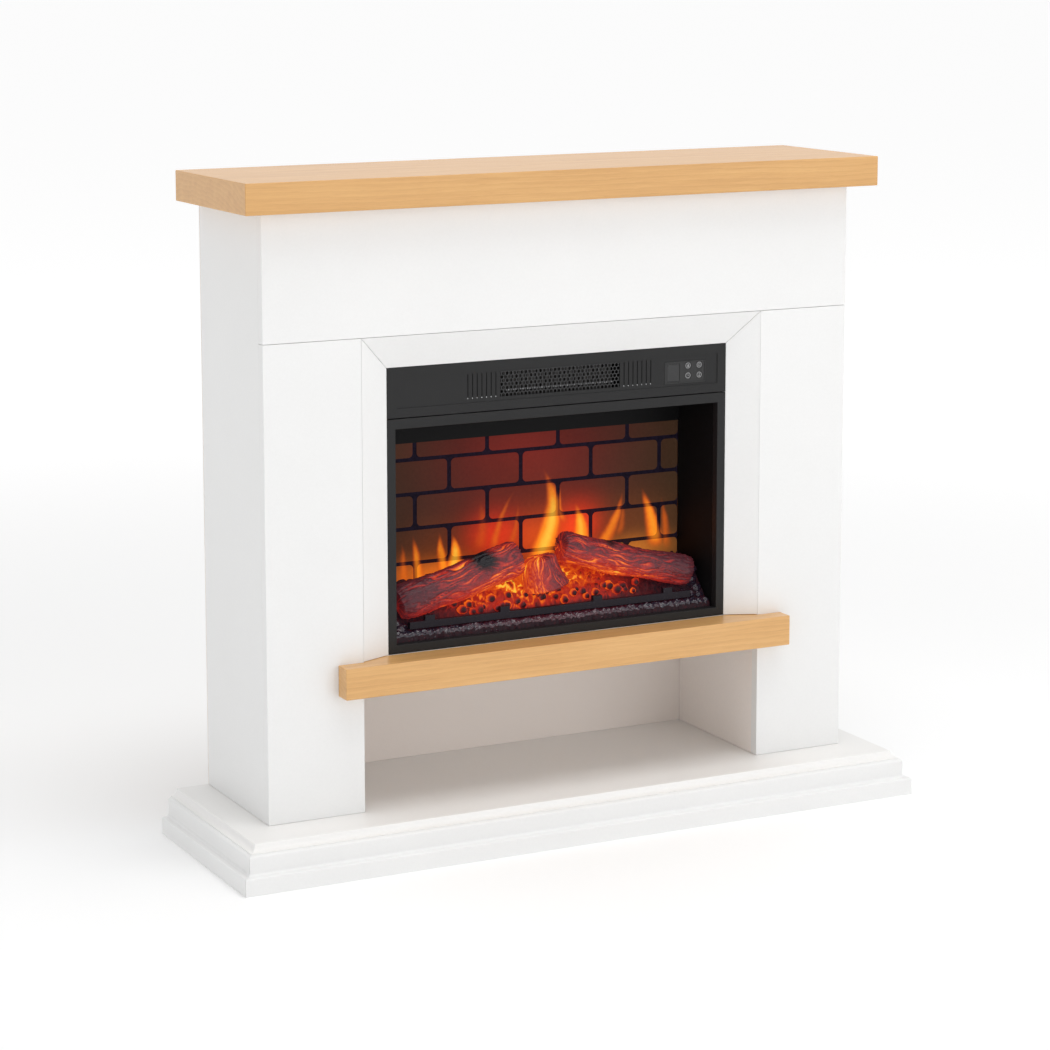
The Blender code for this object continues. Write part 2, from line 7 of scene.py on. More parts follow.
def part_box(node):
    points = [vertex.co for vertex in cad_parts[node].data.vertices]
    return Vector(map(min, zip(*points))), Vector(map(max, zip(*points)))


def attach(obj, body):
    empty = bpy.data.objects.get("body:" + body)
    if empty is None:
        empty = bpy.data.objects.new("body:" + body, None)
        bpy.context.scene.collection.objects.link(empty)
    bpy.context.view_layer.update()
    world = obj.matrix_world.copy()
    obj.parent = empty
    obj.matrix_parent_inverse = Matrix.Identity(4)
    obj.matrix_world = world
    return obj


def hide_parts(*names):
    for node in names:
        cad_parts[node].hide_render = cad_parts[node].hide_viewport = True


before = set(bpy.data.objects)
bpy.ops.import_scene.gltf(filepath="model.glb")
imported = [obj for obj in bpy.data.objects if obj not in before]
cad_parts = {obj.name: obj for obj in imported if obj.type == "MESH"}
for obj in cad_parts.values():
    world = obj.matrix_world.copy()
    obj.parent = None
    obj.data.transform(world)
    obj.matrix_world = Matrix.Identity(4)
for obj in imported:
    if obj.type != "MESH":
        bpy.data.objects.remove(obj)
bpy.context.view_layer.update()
print("frame loaded")


# Modelling helpers

def clearSelection():
    bpy.ops.object.select_all(action="DESELECT")


def makeActive(piece):
    clearSelection()
    piece.select_set(True)
    bpy.context.view_layer.objects.active = piece


def settle(piece):
    # puts the place, turn and size into the mesh
    makeActive(piece)
    bpy.ops.object.transform_apply(location=True, rotation=True, scale=True)
    return piece


def startBlock(name, low, high):
    low, high = Vector(low), Vector(high)
    clearSelection()
    bpy.ops.mesh.primitive_cube_add(size=1, location=(low + high) / 2)
    piece = bpy.context.object
    piece.name = name
    piece.scale = high - low
    return settle(piece)


def startRod(name, radius, start, end, sides=32):
    start, end = Vector(start), Vector(end)
    turn = (end - start).to_track_quat("Z", "Y").to_euler()
    clearSelection()
    bpy.ops.mesh.primitive_cylinder_add(vertices=sides, radius=radius, depth=(end - start).length,
                                        location=(start + end) / 2, rotation=turn)
    piece = bpy.context.object
    piece.name = name
    return settle(piece)


def pickFaces(piece, test):
    # leaves the piece in edit mode with the faces chosen by test selected
    makeActive(piece)
    bpy.ops.object.mode_set(mode="EDIT")
    bpy.ops.mesh.select_mode(type="FACE")
    bpy.ops.mesh.select_all(action="DESELECT")
    bpy.ops.object.mode_set(mode="OBJECT")
    for face in piece.data.polygons:
        face.select = test(face.center, face.normal)
    bpy.ops.object.mode_set(mode="EDIT")


def leaveEdit():
    bpy.ops.object.mode_set(mode="OBJECT")


def stepFaces(piece, test, thickness, shift):
    # insets the chosen faces and moves them in depth
    pickFaces(piece, test)
    bpy.ops.mesh.inset(thickness=thickness)
    bpy.ops.transform.translate(value=(0, shift, 0))
    leaveEdit()


def editAll(piece):
    # leaves the piece in edit mode with all of it selected
    makeActive(piece)
    bpy.ops.object.mode_set(mode="EDIT")
    bpy.ops.mesh.select_all(action="SELECT")


def faceOutwards(piece):
    editAll(piece)
    bpy.ops.mesh.normals_make_consistent(inside=False)
    leaveEdit()


def sliceAt(piece, point, normal, clearInner=False, clearOuter=False):
    editAll(piece)
    bpy.ops.mesh.bisect(plane_co=point, plane_no=normal, clear_inner=clearInner, clear_outer=clearOuter)
    leaveEdit()


def applyStep(piece, kind, **settings):
    step = piece.modifiers.new(kind.lower(), kind)
    for key, value in settings.items():
        setattr(step, key, value)
    makeActive(piece)
    bpy.ops.object.modifier_apply(modifier=step.name)


def smoothFaces(piece, degrees=50):
    makeActive(piece)
    bpy.ops.object.shade_smooth_by_angle(angle=math.radians(degrees))
    applyStep(piece, "WEIGHTED_NORMAL", keep_sharp=True, weight=50)


def softenEdges(piece, width, segments=3):
    applyStep(piece, "BEVEL", width=width, segments=segments, limit_method="ANGLE",
              angle_limit=math.radians(28))
    smoothFaces(piece)


def carve(piece, *tools, operation="DIFFERENCE"):
    for tool in tools:
        applyStep(piece, "BOOLEAN", object=tool, operation=operation, solver="EXACT")
        bpy.data.objects.remove(tool)


def joinPieces(name, pieces):
    clearSelection()
    for piece in pieces:
        piece.select_set(True)
    bpy.context.view_layer.objects.active = pieces[0]
    bpy.ops.object.join()
    pieces[0].name = name
    return pieces[0]


def roundedBlock(name, low, high, radius, axis=1, segments=4):
    # a block with its four edges along the axis rounded
    piece = startBlock(name, low, high)
    makeActive(piece)
    bpy.ops.object.mode_set(mode="EDIT")
    bpy.ops.mesh.select_mode(type="EDGE")
    bpy.ops.mesh.select_all(action="DESELECT")
    leaveEdit()
    points = piece.data.vertices
    for edge in piece.data.edges:
        run = points[edge.vertices[0]].co - points[edge.vertices[1]].co
        edge.select = abs(run[axis]) > 0.9 * run.length
    bpy.ops.object.mode_set(mode="EDIT")
    bpy.ops.mesh.bevel(offset=radius, segments=segments, affect="EDGES")
    leaveEdit()
    return piece


def copyFrameNode(name, node):
    # a merged copy of a frame node, ready for rounding
    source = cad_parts[node]
    piece = bpy.data.objects.new(name, source.data.copy())
    bpy.context.collection.objects.link(piece)
    editAll(piece)
    bpy.ops.mesh.remove_doubles(threshold=0.00001)
    bpy.ops.mesh.dissolve_limited(angle_limit=math.radians(1.0))
    leaveEdit()
    return piece


def storeField(piece, name, values):
    field = piece.data.attributes.new(name, "FLOAT", "POINT")
    for item, value in zip(field.data, values):
        item.value = value


def fit(piece, finish, slotName, *nodes, body="fireplace"):
    piece.data.materials.clear()
    piece.data.materials.append(finish)
    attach(piece, body)
    if nodes:
        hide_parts(*nodes)
    return piece


# Material helpers

def feed(tree, socket, value):
    if isinstance(value, bpy.types.NodeSocket):
        tree.links.new(value, socket)
    else:
        socket.default_value = value


def feedAll(tree, made, inputs):
    for key, value in inputs.items():
        feed(tree, made.inputs[key], value)


def addNode(tree, kind, inputs=None, **settings):
    made = tree.nodes.new("ShaderNode" + kind)
    for key, value in settings.items():
        setattr(made, key, value)
    feedAll(tree, made, inputs or {})
    return made


def calc(tree, operation, *values):
    made = addNode(tree, "Math", operation=operation)
    for socket, value in zip(made.inputs, values):
        feed(tree, socket, value)
    return made.outputs[0]


def weigh(tree, *parts):
    # adds up pairs of a value and its weight
    total = calc(tree, "MULTIPLY", *parts[0])
    for value, weight in parts[1:]:
        total = calc(tree, "ADD", total, calc(tree, "MULTIPLY", value, weight))
    return total


def rescale(tree, value, fromLow, fromHigh, toLow=0.0, toHigh=1.0, smooth=False):
    made = addNode(tree, "MapRange", {"From Min": fromLow, "From Max": fromHigh,
                                      "To Min": toLow, "To Max": toHigh, "Value": value})
    made.interpolation_type = "SMOOTHSTEP" if smooth else "LINEAR"
    return made.outputs[0]


def colourRamp(tree, value, stops):
    made = addNode(tree, "ValToRGB", {"Fac": value})
    band = made.color_ramp
    while len(band.elements) < len(stops):
        band.elements.new(0.5)
    for element, (place, colour) in zip(band.elements, stops):
        element.position = place
        element.color = (*colour, 1.0)
    return made.outputs["Color"]


def blendColour(tree, factor, first, second, kind="MIX"):
    made = addNode(tree, "Mix", data_type="RGBA", blend_type=kind)
    feed(tree, made.inputs[0], factor)
    for socket, value in ((made.inputs[6], first), (made.inputs[7], second)):
        feed(tree, socket, value if isinstance(value, bpy.types.NodeSocket) else (*value, 1.0))
    return made.outputs[2]


def stretched(tree, size=(1, 1, 1), move=(0, 0, 0)):
    place = addNode(tree, "TexCoord").outputs["Object"]
    return addNode(tree, "Mapping", {"Vector": place, "Scale": size, "Location": move}).outputs[0]


def cloud(tree, place, scale, detail=3.0, rough=0.5):
    return addNode(tree, "TexNoise", {"Vector": place, "Scale": scale, "Detail": detail,
                                      "Roughness": rough}).outputs["Fac"]


def addBump(tree, shader, height, distance, strength=1.0):
    bump = addNode(tree, "Bump", {"Height": height, "Distance": distance, "Strength": strength})
    tree.links.new(bump.outputs[0], shader.inputs["Normal"])


def startFinish(name, metallic=0.0, specular=0.5, coat=0.0, coatRoughness=0.15):
    finish = bpy.data.materials.new(name)
    finish.use_nodes = True
    shader = finish.node_tree.nodes["Principled BSDF"]
    shader.inputs["Metallic"].default_value = metallic
    shader.inputs["Specular IOR Level"].default_value = specular
    shader.inputs["Coat Weight"].default_value = coat
    shader.inputs["Coat Roughness"].default_value = coatRoughness
    return finish, finish.node_tree, shader


def grainyFinish(name, colour, contrast, roughness, grainScale, bumpDepth, **kinds):
    # an even moulded, painted or plated finish with a fine grain in colour, gloss and height
    finish, tree, shader = startFinish(name, **kinds)
    place = stretched(tree)
    broad = cloud(tree, place, 6.0)
    fine = cloud(tree, place, grainScale, 2.0)
    both = weigh(tree, (broad, 0.5), (fine, 0.5))
    dark = [c * (1 - contrast) for c in colour]
    light = [min(1.0, c * (1 + contrast)) for c in colour]
    feedAll(tree, shader, {
        "Base Color": colourRamp(tree, both, [(0.35, dark), (0.65, light)]),
        "Roughness": rescale(tree, fine, 0.3, 0.7, roughness - 0.05, roughness + 0.05),
    })
    addBump(tree, shader, fine, bumpDepth)
    return finish


# Finishes of the surround

woodLook = {
    "dark": (0.565, 0.298, 0.095),
    "middle": (0.685, 0.382, 0.132),
    "light": (0.755, 0.446, 0.170),
    "ringScale": 42.0,
    "heartDepth": 0.42,
    "heartBack": 0.06,
    "wander": 0.030,
    # the mantel's oak is darker and yellower than the shelf's: painted shade, offsetting the stronger light
    # and coat reflection on the mantel
    "mantelPaintedShade": (0.93, 0.895, 0.82),
    "shelfTone": (1.0, 0.99, 1.0),
}


def makeOak(name, centre, tone):
    finish, tree, shader = startFinish(name, specular=0.42, coat=0.55, coatRoughness=0.24)
    move = (-centre.x, -centre.y - woodLook["heartBack"], -centre.z + woodLook["heartDepth"])
    place = stretched(tree, (1, 1, 1), move)
    slow = stretched(tree, (1.1, 7.0, 7.0))
    drift = addNode(tree, "TexNoise", {"Vector": slow, "Scale": 1.6, "Detail": 4.0}).outputs["Color"]
    wander = woodLook["wander"]
    drift = addNode(tree, "VectorMath", {0: drift, 1: (0.5, 0.5, 0.5)}, operation="SUBTRACT").outputs[0]
    drift = addNode(tree, "VectorMath", {0: drift, "Scale": wander}, operation="SCALE").outputs[0]
    bent = addNode(tree, "VectorMath", {0: place, 1: drift}, operation="ADD").outputs[0]
    rings = addNode(tree, "TexWave", {"Vector": bent, "Scale": woodLook["ringScale"],
                                      "Distortion": 1.2, "Detail": 3.0, "Detail Scale": 1.4},
                    wave_type="RINGS", rings_direction="X", wave_profile="SAW").outputs["Fac"]
    fibre = cloud(tree, stretched(tree, (6.0, 240.0, 240.0)), 4.0, 4.0, 0.6)
    patch = cloud(tree, stretched(tree, (1.6, 26.0, 26.0)), 2.2, 4.0, 0.6)
    figure = weigh(tree, (rings, 0.14), (fibre, 0.38), (patch, 0.48))
    colour = colourRamp(tree, figure, [(0.30, woodLook["light"]), (0.50, woodLook["middle"]),
                                       (0.78, woodLook["dark"])])
    pores = cloud(tree, stretched(tree, (24.0, 900.0, 900.0)), 3.0, 2.0)
    pore = rescale(tree, pores, 0.60, 0.70, 0.0, 0.22, smooth=True)
    colour = blendColour(tree, pore, colour, (0.40, 0.20, 0.07))
    # the tone multiplies the oak colour: a real tone for the shelf, painted shade for the mantel
    feedAll(tree, shader, {"Base Color": blendColour(tree, 1.0, colour, tone, "MULTIPLY"),
                           "Roughness": rescale(tree, fibre, 0.3, 0.7, 0.40, 0.52)})
    addBump(tree, shader, calc(tree, "SUBTRACT", fibre, pore), 0.00012, 0.6)
    return finish


whiteLacquer = grainyFinish("whiteLacquer", (0.835, 0.835, 0.830), 0.012, 0.40, 240.0, 0.00004,
                            specular=0.40)
# a warmer copy of the white lacquer: painted warm light, standing in for the warm bounce light on the
# hearth board
hearthWhitePaintedWarmLight = grainyFinish("hearthWhitePaintedWarmLight", (0.850, 0.841, 0.826), 0.012, 0.40, 240.0, 0.00004,
                           specular=0.40)
# a brighter, warmer copy of the white paint: painted light, standing in for fill light and the warm
# reflection of the oak inside the niche
innerWhitePaintedLight = grainyFinish("innerWhitePaintedLight", (0.90, 0.845, 0.805), 0.015, 0.50, 200.0, 0.00005,
                          specular=0.30)
blackFront = grainyFinish("blackFront", (0.0115, 0.0115, 0.012), 0.10, 0.50, 1500.0, 0.00005,
                          specular=0.30)
blackPod = grainyFinish("blackPod", (0.014, 0.014, 0.0145), 0.08, 0.44, 1800.0, 0.00003,
                        specular=0.42)
blackLiner = grainyFinish("blackLiner", (0.006, 0.006, 0.0065), 0.15, 0.60, 900.0, 0.00005,
                          specular=0.12)
grilleSteel = grainyFinish("grilleSteel", (0.022, 0.022, 0.024), 0.10, 0.34, 1200.0, 0.00003,
                           specular=0.7, metallic=0.2)
# a pale metal for the sills and fins: a painted highlight, standing in for glints
paintedGlintSteel = grainyFinish("paintedGlintSteel", (0.42, 0.42, 0.43), 0.10, 0.30, 700.0, 0.00002, metallic=0.6)
keyPlastic = grainyFinish("keyPlastic", (0.020, 0.020, 0.021), 0.08, 0.42, 1600.0, 0.00002)
keyPrint = grainyFinish("keyPrint", (0.30, 0.30, 0.305), 0.05, 0.45, 1400.0, 0.00001)
displayGloss = grainyFinish("displayGloss", (0.013, 0.013, 0.014), 0.04, 0.36, 40.0, 0.000001,
                            specular=0.5)
softwood = grainyFinish("softwood", (0.62, 0.48, 0.31), 0.14, 0.65, 90.0, 0.0002)
zincSteel = grainyFinish("zincSteel", (0.56, 0.57, 0.58), 0.10, 0.42, 46.0, 0.00005, metallic=0.9)
boardGreen = grainyFinish("boardGreen", (0.02, 0.15, 0.065), 0.12, 0.40, 300.0, 0.00004, coat=0.3)
boardWhite = grainyFinish("boardWhite", (0.78, 0.78, 0.71), 0.04, 0.40, 300.0, 0.00003)
mirrorFoil = grainyFinish("mirrorFoil", (0.75, 0.75, 0.76), 0.05, 0.18, 160.0, 0.0002, metallic=1.0)
motorCan = grainyFinish("motorCan", (0.11, 0.11, 0.12), 0.08, 0.38, 500.0, 0.00003, metallic=0.3)
nylon = grainyFinish("nylon", (0.80, 0.80, 0.77), 0.03, 0.48, 300.0, 0.00003)
millAluminium = grainyFinish("millAluminium", (0.60, 0.61, 0.62), 0.08, 0.33, 260.0, 0.00004,
                             metallic=1.0)
# a near-black heater element: painted shade, standing in for the dark inside of the case behind the net
heaterCeramicPaintedShade = grainyFinish("heaterCeramicPaintedShade", (0.045, 0.042, 0.040), 0.12, 0.62, 420.0, 0.00008)
glandRubber = grainyFinish("glandRubber", (0.022, 0.022, 0.022), 0.12, 0.62, 700.0, 0.00006)


def makeHardboard():
    # painted white on the niche side and round the edge, bare fibre behind
    finish, tree, shader = startFinish("hardboard", specular=0.2)
    place = stretched(tree)
    fibre = cloud(tree, place, 320.0, 5.0, 0.7)
    patch = cloud(tree, place, 5.0, 2.0)
    mix = weigh(tree, (fibre, 0.85), (patch, 0.15))
    brown = colourRamp(tree, mix, [(0.32, (0.20, 0.115, 0.055)), (0.68, (0.40, 0.255, 0.140))])
    facing = addNode(tree, "SeparateXYZ", {0: addNode(tree, "TexCoord").outputs["Normal"]}).outputs["Y"]
    painted = rescale(tree, facing, 0.6, 0.5)
    # the painted side is a brighter, warmer white than the lacquer: painted light, standing in for the warm
    # light the oak reflects into the niche
    feedAll(tree, shader, {"Base Color": blendColour(tree, painted, brown, (0.87, 0.805, 0.760)),
                           "Roughness": rescale(tree, fibre, 0.3, 0.7, 0.50, 0.80)})
    addBump(tree, shader, fibre, 0.00025)
    return finish


hardboard = makeHardboard()
print("finishes made")


# Surround

gap = 0.0003  # clearance between pieces that meet
boardLook = {"edge": 0.0006, "woodEdge": 0.0012, "innerEdge": 0.0008, "mouldedEdge": 0.0005}

plainBoards = {
    "friezeBoard": ("frieze_panel", whiteLacquer),
    "leftPillar": ("left_pillar_panel", whiteLacquer),
    "rightPillar": ("right_pillar_panel", whiteLacquer),
    "leftSide": ("left_side_panel", whiteLacquer),
    "rightSide": ("right_side_panel", whiteLacquer),
    # the niche walls and the insert deck take the brighter inner white, which is painted light
    "leftNicheWall": ("left_niche_wall", innerWhitePaintedLight),
    "rightNicheWall": ("right_niche_wall", innerWhitePaintedLight),
    "insertDeck": ("insert_deck", innerWhitePaintedLight),
    "baseRear": ("base_rear", whiteLacquer),
}


def makeBoards():
    for name, (node, finish) in plainBoards.items():
        low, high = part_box(node)
        board = startBlock(name, low, high)
        softenEdges(board, boardLook["edge"])
        fit(board, finish, "white_lacquer", node)
    low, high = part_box("top_rail")
    rail = startBlock("topRail", low, high)
    softenEdges(rail, boardLook["innerEdge"], 2)
    fit(rail, softwood, "softwood", "top_rail")


def makeMantel():
    low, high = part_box("mantel_shelf")
    mantel = startBlock("mantelSlab", low, high)
    softenEdges(mantel, boardLook["woodEdge"])
    fit(mantel, makeOak("mantelOak", (low + high) / 2, woodLook["mantelPaintedShade"]), "oak", "mantel_shelf")


def makeLowerShelf():
    # a front rail with a tongue drawn back between the pillars
    low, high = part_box("lower_shelf")
    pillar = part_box("right_pillar_panel")[0]
    inner = pillar.x - gap
    shoulder = pillar.y - gap
    shelf = startBlock("lowerShelf", low, (high.x, shoulder, high.z))
    for side in (-1, 1):
        sliceAt(shelf, (side * inner, 0, 0), (1, 0, 0))
    pickFaces(shelf, lambda centre, normal: normal.y > 0.9 and abs(centre.x) < inner)
    bpy.ops.mesh.extrude_region_move(TRANSFORM_OT_translate={"value": (0, high.y - shoulder, 0)})
    leaveEdit()
    softenEdges(shelf, boardLook["woodEdge"])
    # cut from another place in the tree than the mantel
    centre = (low + high) / 2 + Vector((0.21, 0.03, 0.05))
    fit(shelf, makeOak("shelfOak", centre, woodLook["shelfTone"]), "oak", "lower_shelf")


mouldings = ("splay_top", "splay_left", "splay_right", "hearth_board", "tier_front", "tier_left",
             "tier_right", "base_front", "base_left", "base_right")


def makeMouldings():
    for node in mouldings:
        first, second = node.split("_")
        piece = copyFrameNode(first + second.title(), node)
        softenEdges(piece, boardLook["mouldedEdge"], 2)
        # the hearth board takes the warmer copy of the lacquer, which is painted warm light
        fit(piece, hearthWhitePaintedWarmLight if node == "hearth_board" else whiteLacquer, "white_lacquer", node)


coveLook = {
    "tierCove": {"upper": "tier_front", "lower": "base_front", "radius": 0.0045},
    "hearthCove": {"upper": "hearth_board", "lower": "tier_front", "radius": 0.0010},
}


def makeCoves():
    # hollow trims in the corners where one step of the plinth stands on the next
    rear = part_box("hearth_board")[1].y
    for name, look in coveLook.items():
        low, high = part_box(look["upper"])
        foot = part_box(look["lower"])[1].z + 0.0001
        radius = look["radius"]
        cove = startBlock(name, low, (high.x, rear, high.z))
        for vertex in cove.data.vertices:
            vertex.co.z = foot if vertex.co.z < (low.z + high.z) / 2 else foot + radius
        for share in (0.08, 0.2, 0.36, 0.56, 0.78):
            sliceAt(cove, (0, 0, foot + radius * share), (0, 0, 1))
        for vertex in cove.data.vertices:
            left = 1 - (vertex.co.z - foot) / radius
            reach = radius * (1 - math.sqrt(max(0.0, 1 - left * left)))
            vertex.co.x += math.copysign(reach, vertex.co.x)
            vertex.co.y -= reach if vertex.co.y < 0 else 0
        core = startBlock("coreCut", (low.x - 0.0001, low.y - 0.0001, foot - 0.01),
                          (high.x + 0.0001, rear + 0.01, foot + radius + 0.01))
        carve(cove, core)
        smoothFaces(cove, 35)
        fit(cove, whiteLacquer, "white_lacquer")


backLook = {
    "thinned": 0.0009, "serviceX": 0.275, "serviceZ": (0.345, 0.735), "cableRadius": 0.022,
    "cablePlace": (0.425, 0.130), "pinRadius": 0.0032, "pinHead": 0.0007, "pinRows": 7,
    "inset": 0.008, "pinColumn": 0.356,
}


def makeBack():
    # the sheet is set in a little, so that its pin heads stay within the depth of the panel
    low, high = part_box("back_panel")
    rear = high.y - backLook["thinned"]
    sheet = startBlock("backSheet", low, (high.x, rear, high.z))
    side, (foot, head) = backLook["serviceX"], backLook["serviceZ"]
    service = startBlock("serviceCut", (-side, rear - 0.01, foot), (side, rear + 0.01, head))
    x, z = backLook["cablePlace"]
    cable = startRod("cableCut", backLook["cableRadius"], (x, rear - 0.02, z), (x, rear + 0.02, z), 40)
    carve(sheet, service, cable)
    softenEdges(sheet, 0.0003, 2)
    fit(sheet, hardboard, "hardboard", "back_panel")
    inset, rows, column = backLook["inset"], backLook["pinRows"], backLook["pinColumn"]
    head = rear + backLook["pinHead"]
    pins = []
    for i in range(rows):
        z = low.z + inset + i * (high.z - low.z - 2 * inset) / (rows - 1)
        for x in (low.x + inset, high.x - inset, -column, column):
            pin = startRod("pin", backLook["pinRadius"], (x, rear, z), (x, head, z), 14)
            stepFaces(pin, lambda centre, normal: normal.y > 0.9, 0.0010, 0.0001)
            pins.append(pin)
    heads = joinPieces("backPins", pins)
    smoothFaces(heads)
    fit(heads, zincSteel, "zinc_steel")


makeBoards()
makeMantel()
makeLowerShelf()
makeMouldings()
makeCoves()
makeBack()
print("surround made")


# Fire front

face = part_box("fire_frame")[0].y
bandLook = {
    "panelX": 0.282, "panelZ": (0.6845, 0.7325), "panelDepth": 0.0010, "panelCorner": 0.002,
    "slotStart": 0.1125, "slotPitch": 0.0080, "slotHalf": 0.0008, "slotDepth": 0.0024,
    "slotCorner": 0.0006, "slots": 7, "outletCorner": 0.0012, "podCorner": 0.0030, "edge": 0.0003,
}


def slotCentres():
    return [side * (bandLook["slotStart"] + i * bandLook["slotPitch"])
            for side in (-1, 1) for i in range(bandLook["slots"])]


def makeBand():
    low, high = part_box("fascia_band")
    band = startBlock("fasciaBand", low, high)
    front, rear = low.y - 0.01, high.y + 0.01
    gLow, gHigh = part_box("mesh_grille")
    half = gHigh.x + gap
    foot, head = gLow.z - gap, gHigh.z + gap
    pLow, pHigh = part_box("control_pod")
    side, (floor, top) = bandLook["panelX"], bandLook["panelZ"]
    panel = roundedBlock("panelCut", (-side, front, floor), (side, low.y + bandLook["panelDepth"], top),
                         bandLook["panelCorner"])
    outlet = roundedBlock("outletCut", (-half, front, foot), (half, rear, head), bandLook["outletCorner"])
    pod = roundedBlock("podCut", (pLow.x - gap, front, pLow.z - gap), (pHigh.x + gap, rear, pHigh.z + gap),
                       bandLook["podCorner"], segments=6)
    half, depth = bandLook["slotHalf"], low.y + bandLook["slotDepth"]
    slots = [roundedBlock("slotCut", (x - half, front, foot), (x + half, depth, head),
                          bandLook["slotCorner"]) for x in slotCentres()]
    louvres = joinPieces("louvreCut", slots)
    carve(band, panel, outlet, pod, louvres)
    softenEdges(band, bandLook["edge"], 2)
    fit(band, blackFront, "black_front", "fascia_band")


lipLook = {"half": 0.0008, "height": 0.0016, "setBack": 0.0011, "depth": 0.0013}


def makeLouvreLips():
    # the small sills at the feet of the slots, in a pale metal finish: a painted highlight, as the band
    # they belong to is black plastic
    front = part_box("fascia_band")[0].y + lipLook["setBack"]
    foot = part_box("mesh_grille")[0].z
    lips = []
    for x in slotCentres():
        lip = startBlock("lip", (x - lipLook["half"], front, foot),
                         (x + lipLook["half"], front + lipLook["depth"], foot + lipLook["height"]))
        pickFaces(lip, lambda centre, normal: normal.z > 0.9)
        bpy.ops.transform.resize(value=(0.7, 0.5, 1.0))
        leaveEdit()
        lips.append(lip)
    sills = joinPieces("louvreSills", lips)
    softenEdges(sills, 0.0002, 2)
    fit(sills, paintedGlintSteel, "grille_steel")


grilleLook = {"pitch": 0.0064, "strand": 0.00052, "thickness": 0.0010}


def makeGrille():
    low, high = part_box("mesh_grille")
    radius = grilleLook["pitch"] / math.sqrt(3)
    columns = int((high.x - low.x) / grilleLook["pitch"]) + 3
    pairs = int((high.z - low.z) / (3 * radius)) + 2
    clearSelection()
    bpy.ops.mesh.primitive_circle_add(vertices=6, radius=radius, fill_type="NGON",
                                      location=(low.x - radius, low.y, low.z - radius),
                                      rotation=(math.pi / 2, 0, 0))
    net = bpy.context.object
    net.name = "meshGrille"
    settle(net)
    pickFaces(net, lambda centre, normal: True)
    bpy.ops.mesh.inset(thickness=grilleLook["strand"])
    bpy.ops.mesh.delete(type="FACE")
    leaveEdit()
    pitch = grilleLook["pitch"]
    for count, step in ((columns, (pitch, 0, 0)), (2, (pitch / 2, 0, 1.5 * radius)),
                        (pairs, (0, 0, 3 * radius))):
        applyStep(net, "ARRAY", count=count, constant_offset_displace=step,
                  use_relative_offset=False, use_constant_offset=True)
    editAll(net)
    bpy.ops.mesh.remove_doubles(threshold=0.00005)
    leaveEdit()
    sliceAt(net, (low.x, 0, 0), (1, 0, 0), clearInner=True)
    sliceAt(net, (high.x, 0, 0), (1, 0, 0), clearOuter=True)
    sliceAt(net, (0, 0, low.z), (0, 0, 1), clearInner=True)
    sliceAt(net, (0, 0, high.z), (0, 0, 1), clearOuter=True)
    applyStep(net, "SOLIDIFY", thickness=grilleLook["thickness"], offset=-1.0)
    faceOutwards(net)
    fit(net, grilleSteel, "grille_steel", "mesh_grille")


finLook = {"count": 46, "start": 0.012, "pitch": 0.0041, "half": 0.0008, "y": (0.0022, 0.0034),
           "z": (0.6985, 0.7010)}


def makeOutletFins():
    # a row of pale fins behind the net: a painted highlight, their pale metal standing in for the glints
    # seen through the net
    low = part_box("mesh_grille")[0]
    (front, rear), (foot, head) = finLook["y"], finLook["z"]
    fins = []
    for i in range(finLook["count"]):
        x = low.x + finLook["start"] + i * finLook["pitch"]
        fin = startBlock("fin", (x - finLook["half"], low.y + front, foot),
                         (x + finLook["half"], low.y + rear, head))
        stepFaces(fin, lambda centre, normal: normal.y < -0.9, 0.0003, -0.0003)
        fins.append(fin)
    row = joinPieces("outletFins", fins)
    fit(row, paintedGlintSteel, "grille_steel")


keys = {
    "flame": {"node": "button_flame", "body": "flame_key"},
    "power": {"node": "button_power", "body": "power_key"},
    "timer": {"node": "button_timer", "body": "timer_key"},
    "heat": {"node": "button_heat", "body": "heat_key"},
}
podLook = {"corner": 0.0028, "rim": 0.0018, "dishDepth": 0.0008, "dishCorner": 0.0022,
           "pocketCorner": 0.0012, "windowCorner": 0.0010}
keyLook = {"ring": 0.0041, "ringWire": 0.00048, "symbolWire": 0.00030, "flat": 0.35, "arcGap": 0.45,
           "rim": 0.0017, "dish": 0.00015}


def makePod():
    low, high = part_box("control_pod")
    pod = roundedBlock("controlPod", low, high, podLook["corner"], segments=6)
    front, rim = low.y - 0.01, podLook["rim"]
    dish = roundedBlock("dishCut", (low.x + rim, front, low.z + rim),
                        (high.x - rim, low.y + podLook["dishDepth"], high.z - rim),
                        podLook["dishCorner"], segments=6)
    wLow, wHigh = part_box("display_window")
    pocket = roundedBlock("pocketCut", (wLow.x - gap, front, wLow.z - gap),
                          (wHigh.x + gap, wHigh.y + gap, wHigh.z + gap), podLook["pocketCorner"])
    holes = []
    for key in keys.values():
        kLow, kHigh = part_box(key["node"])
        middle = (kLow + kHigh) / 2
        holes.append(startRod("holeCut", (kHigh.x - kLow.x) / 2 + gap,
                              (middle.x, low.y - 0.02, middle.z), (middle.x, high.y + 0.02, middle.z), 40))
    carve(pod, dish, pocket, *holes)
    softenEdges(pod, 0.00025, 2)
    fit(pod, blackPod, "black_pod", "control_pod")
    window = roundedBlock("displayWindow", wLow, wHigh, podLook["windowCorner"])
    softenEdges(window, 0.0002, 2)
    fit(window, displayGloss, "display", "display_window")


def flatRing(name, radius, wire, middle):
    clearSelection()
    bpy.ops.mesh.primitive_torus_add(major_radius=radius, minor_radius=wire, major_segments=40,
                                     minor_segments=8, location=middle, rotation=(math.pi / 2, 0, 0))
    ring = bpy.context.object
    ring.name = name
    ring.scale = (1, 1, keyLook["flat"])
    return settle(ring)


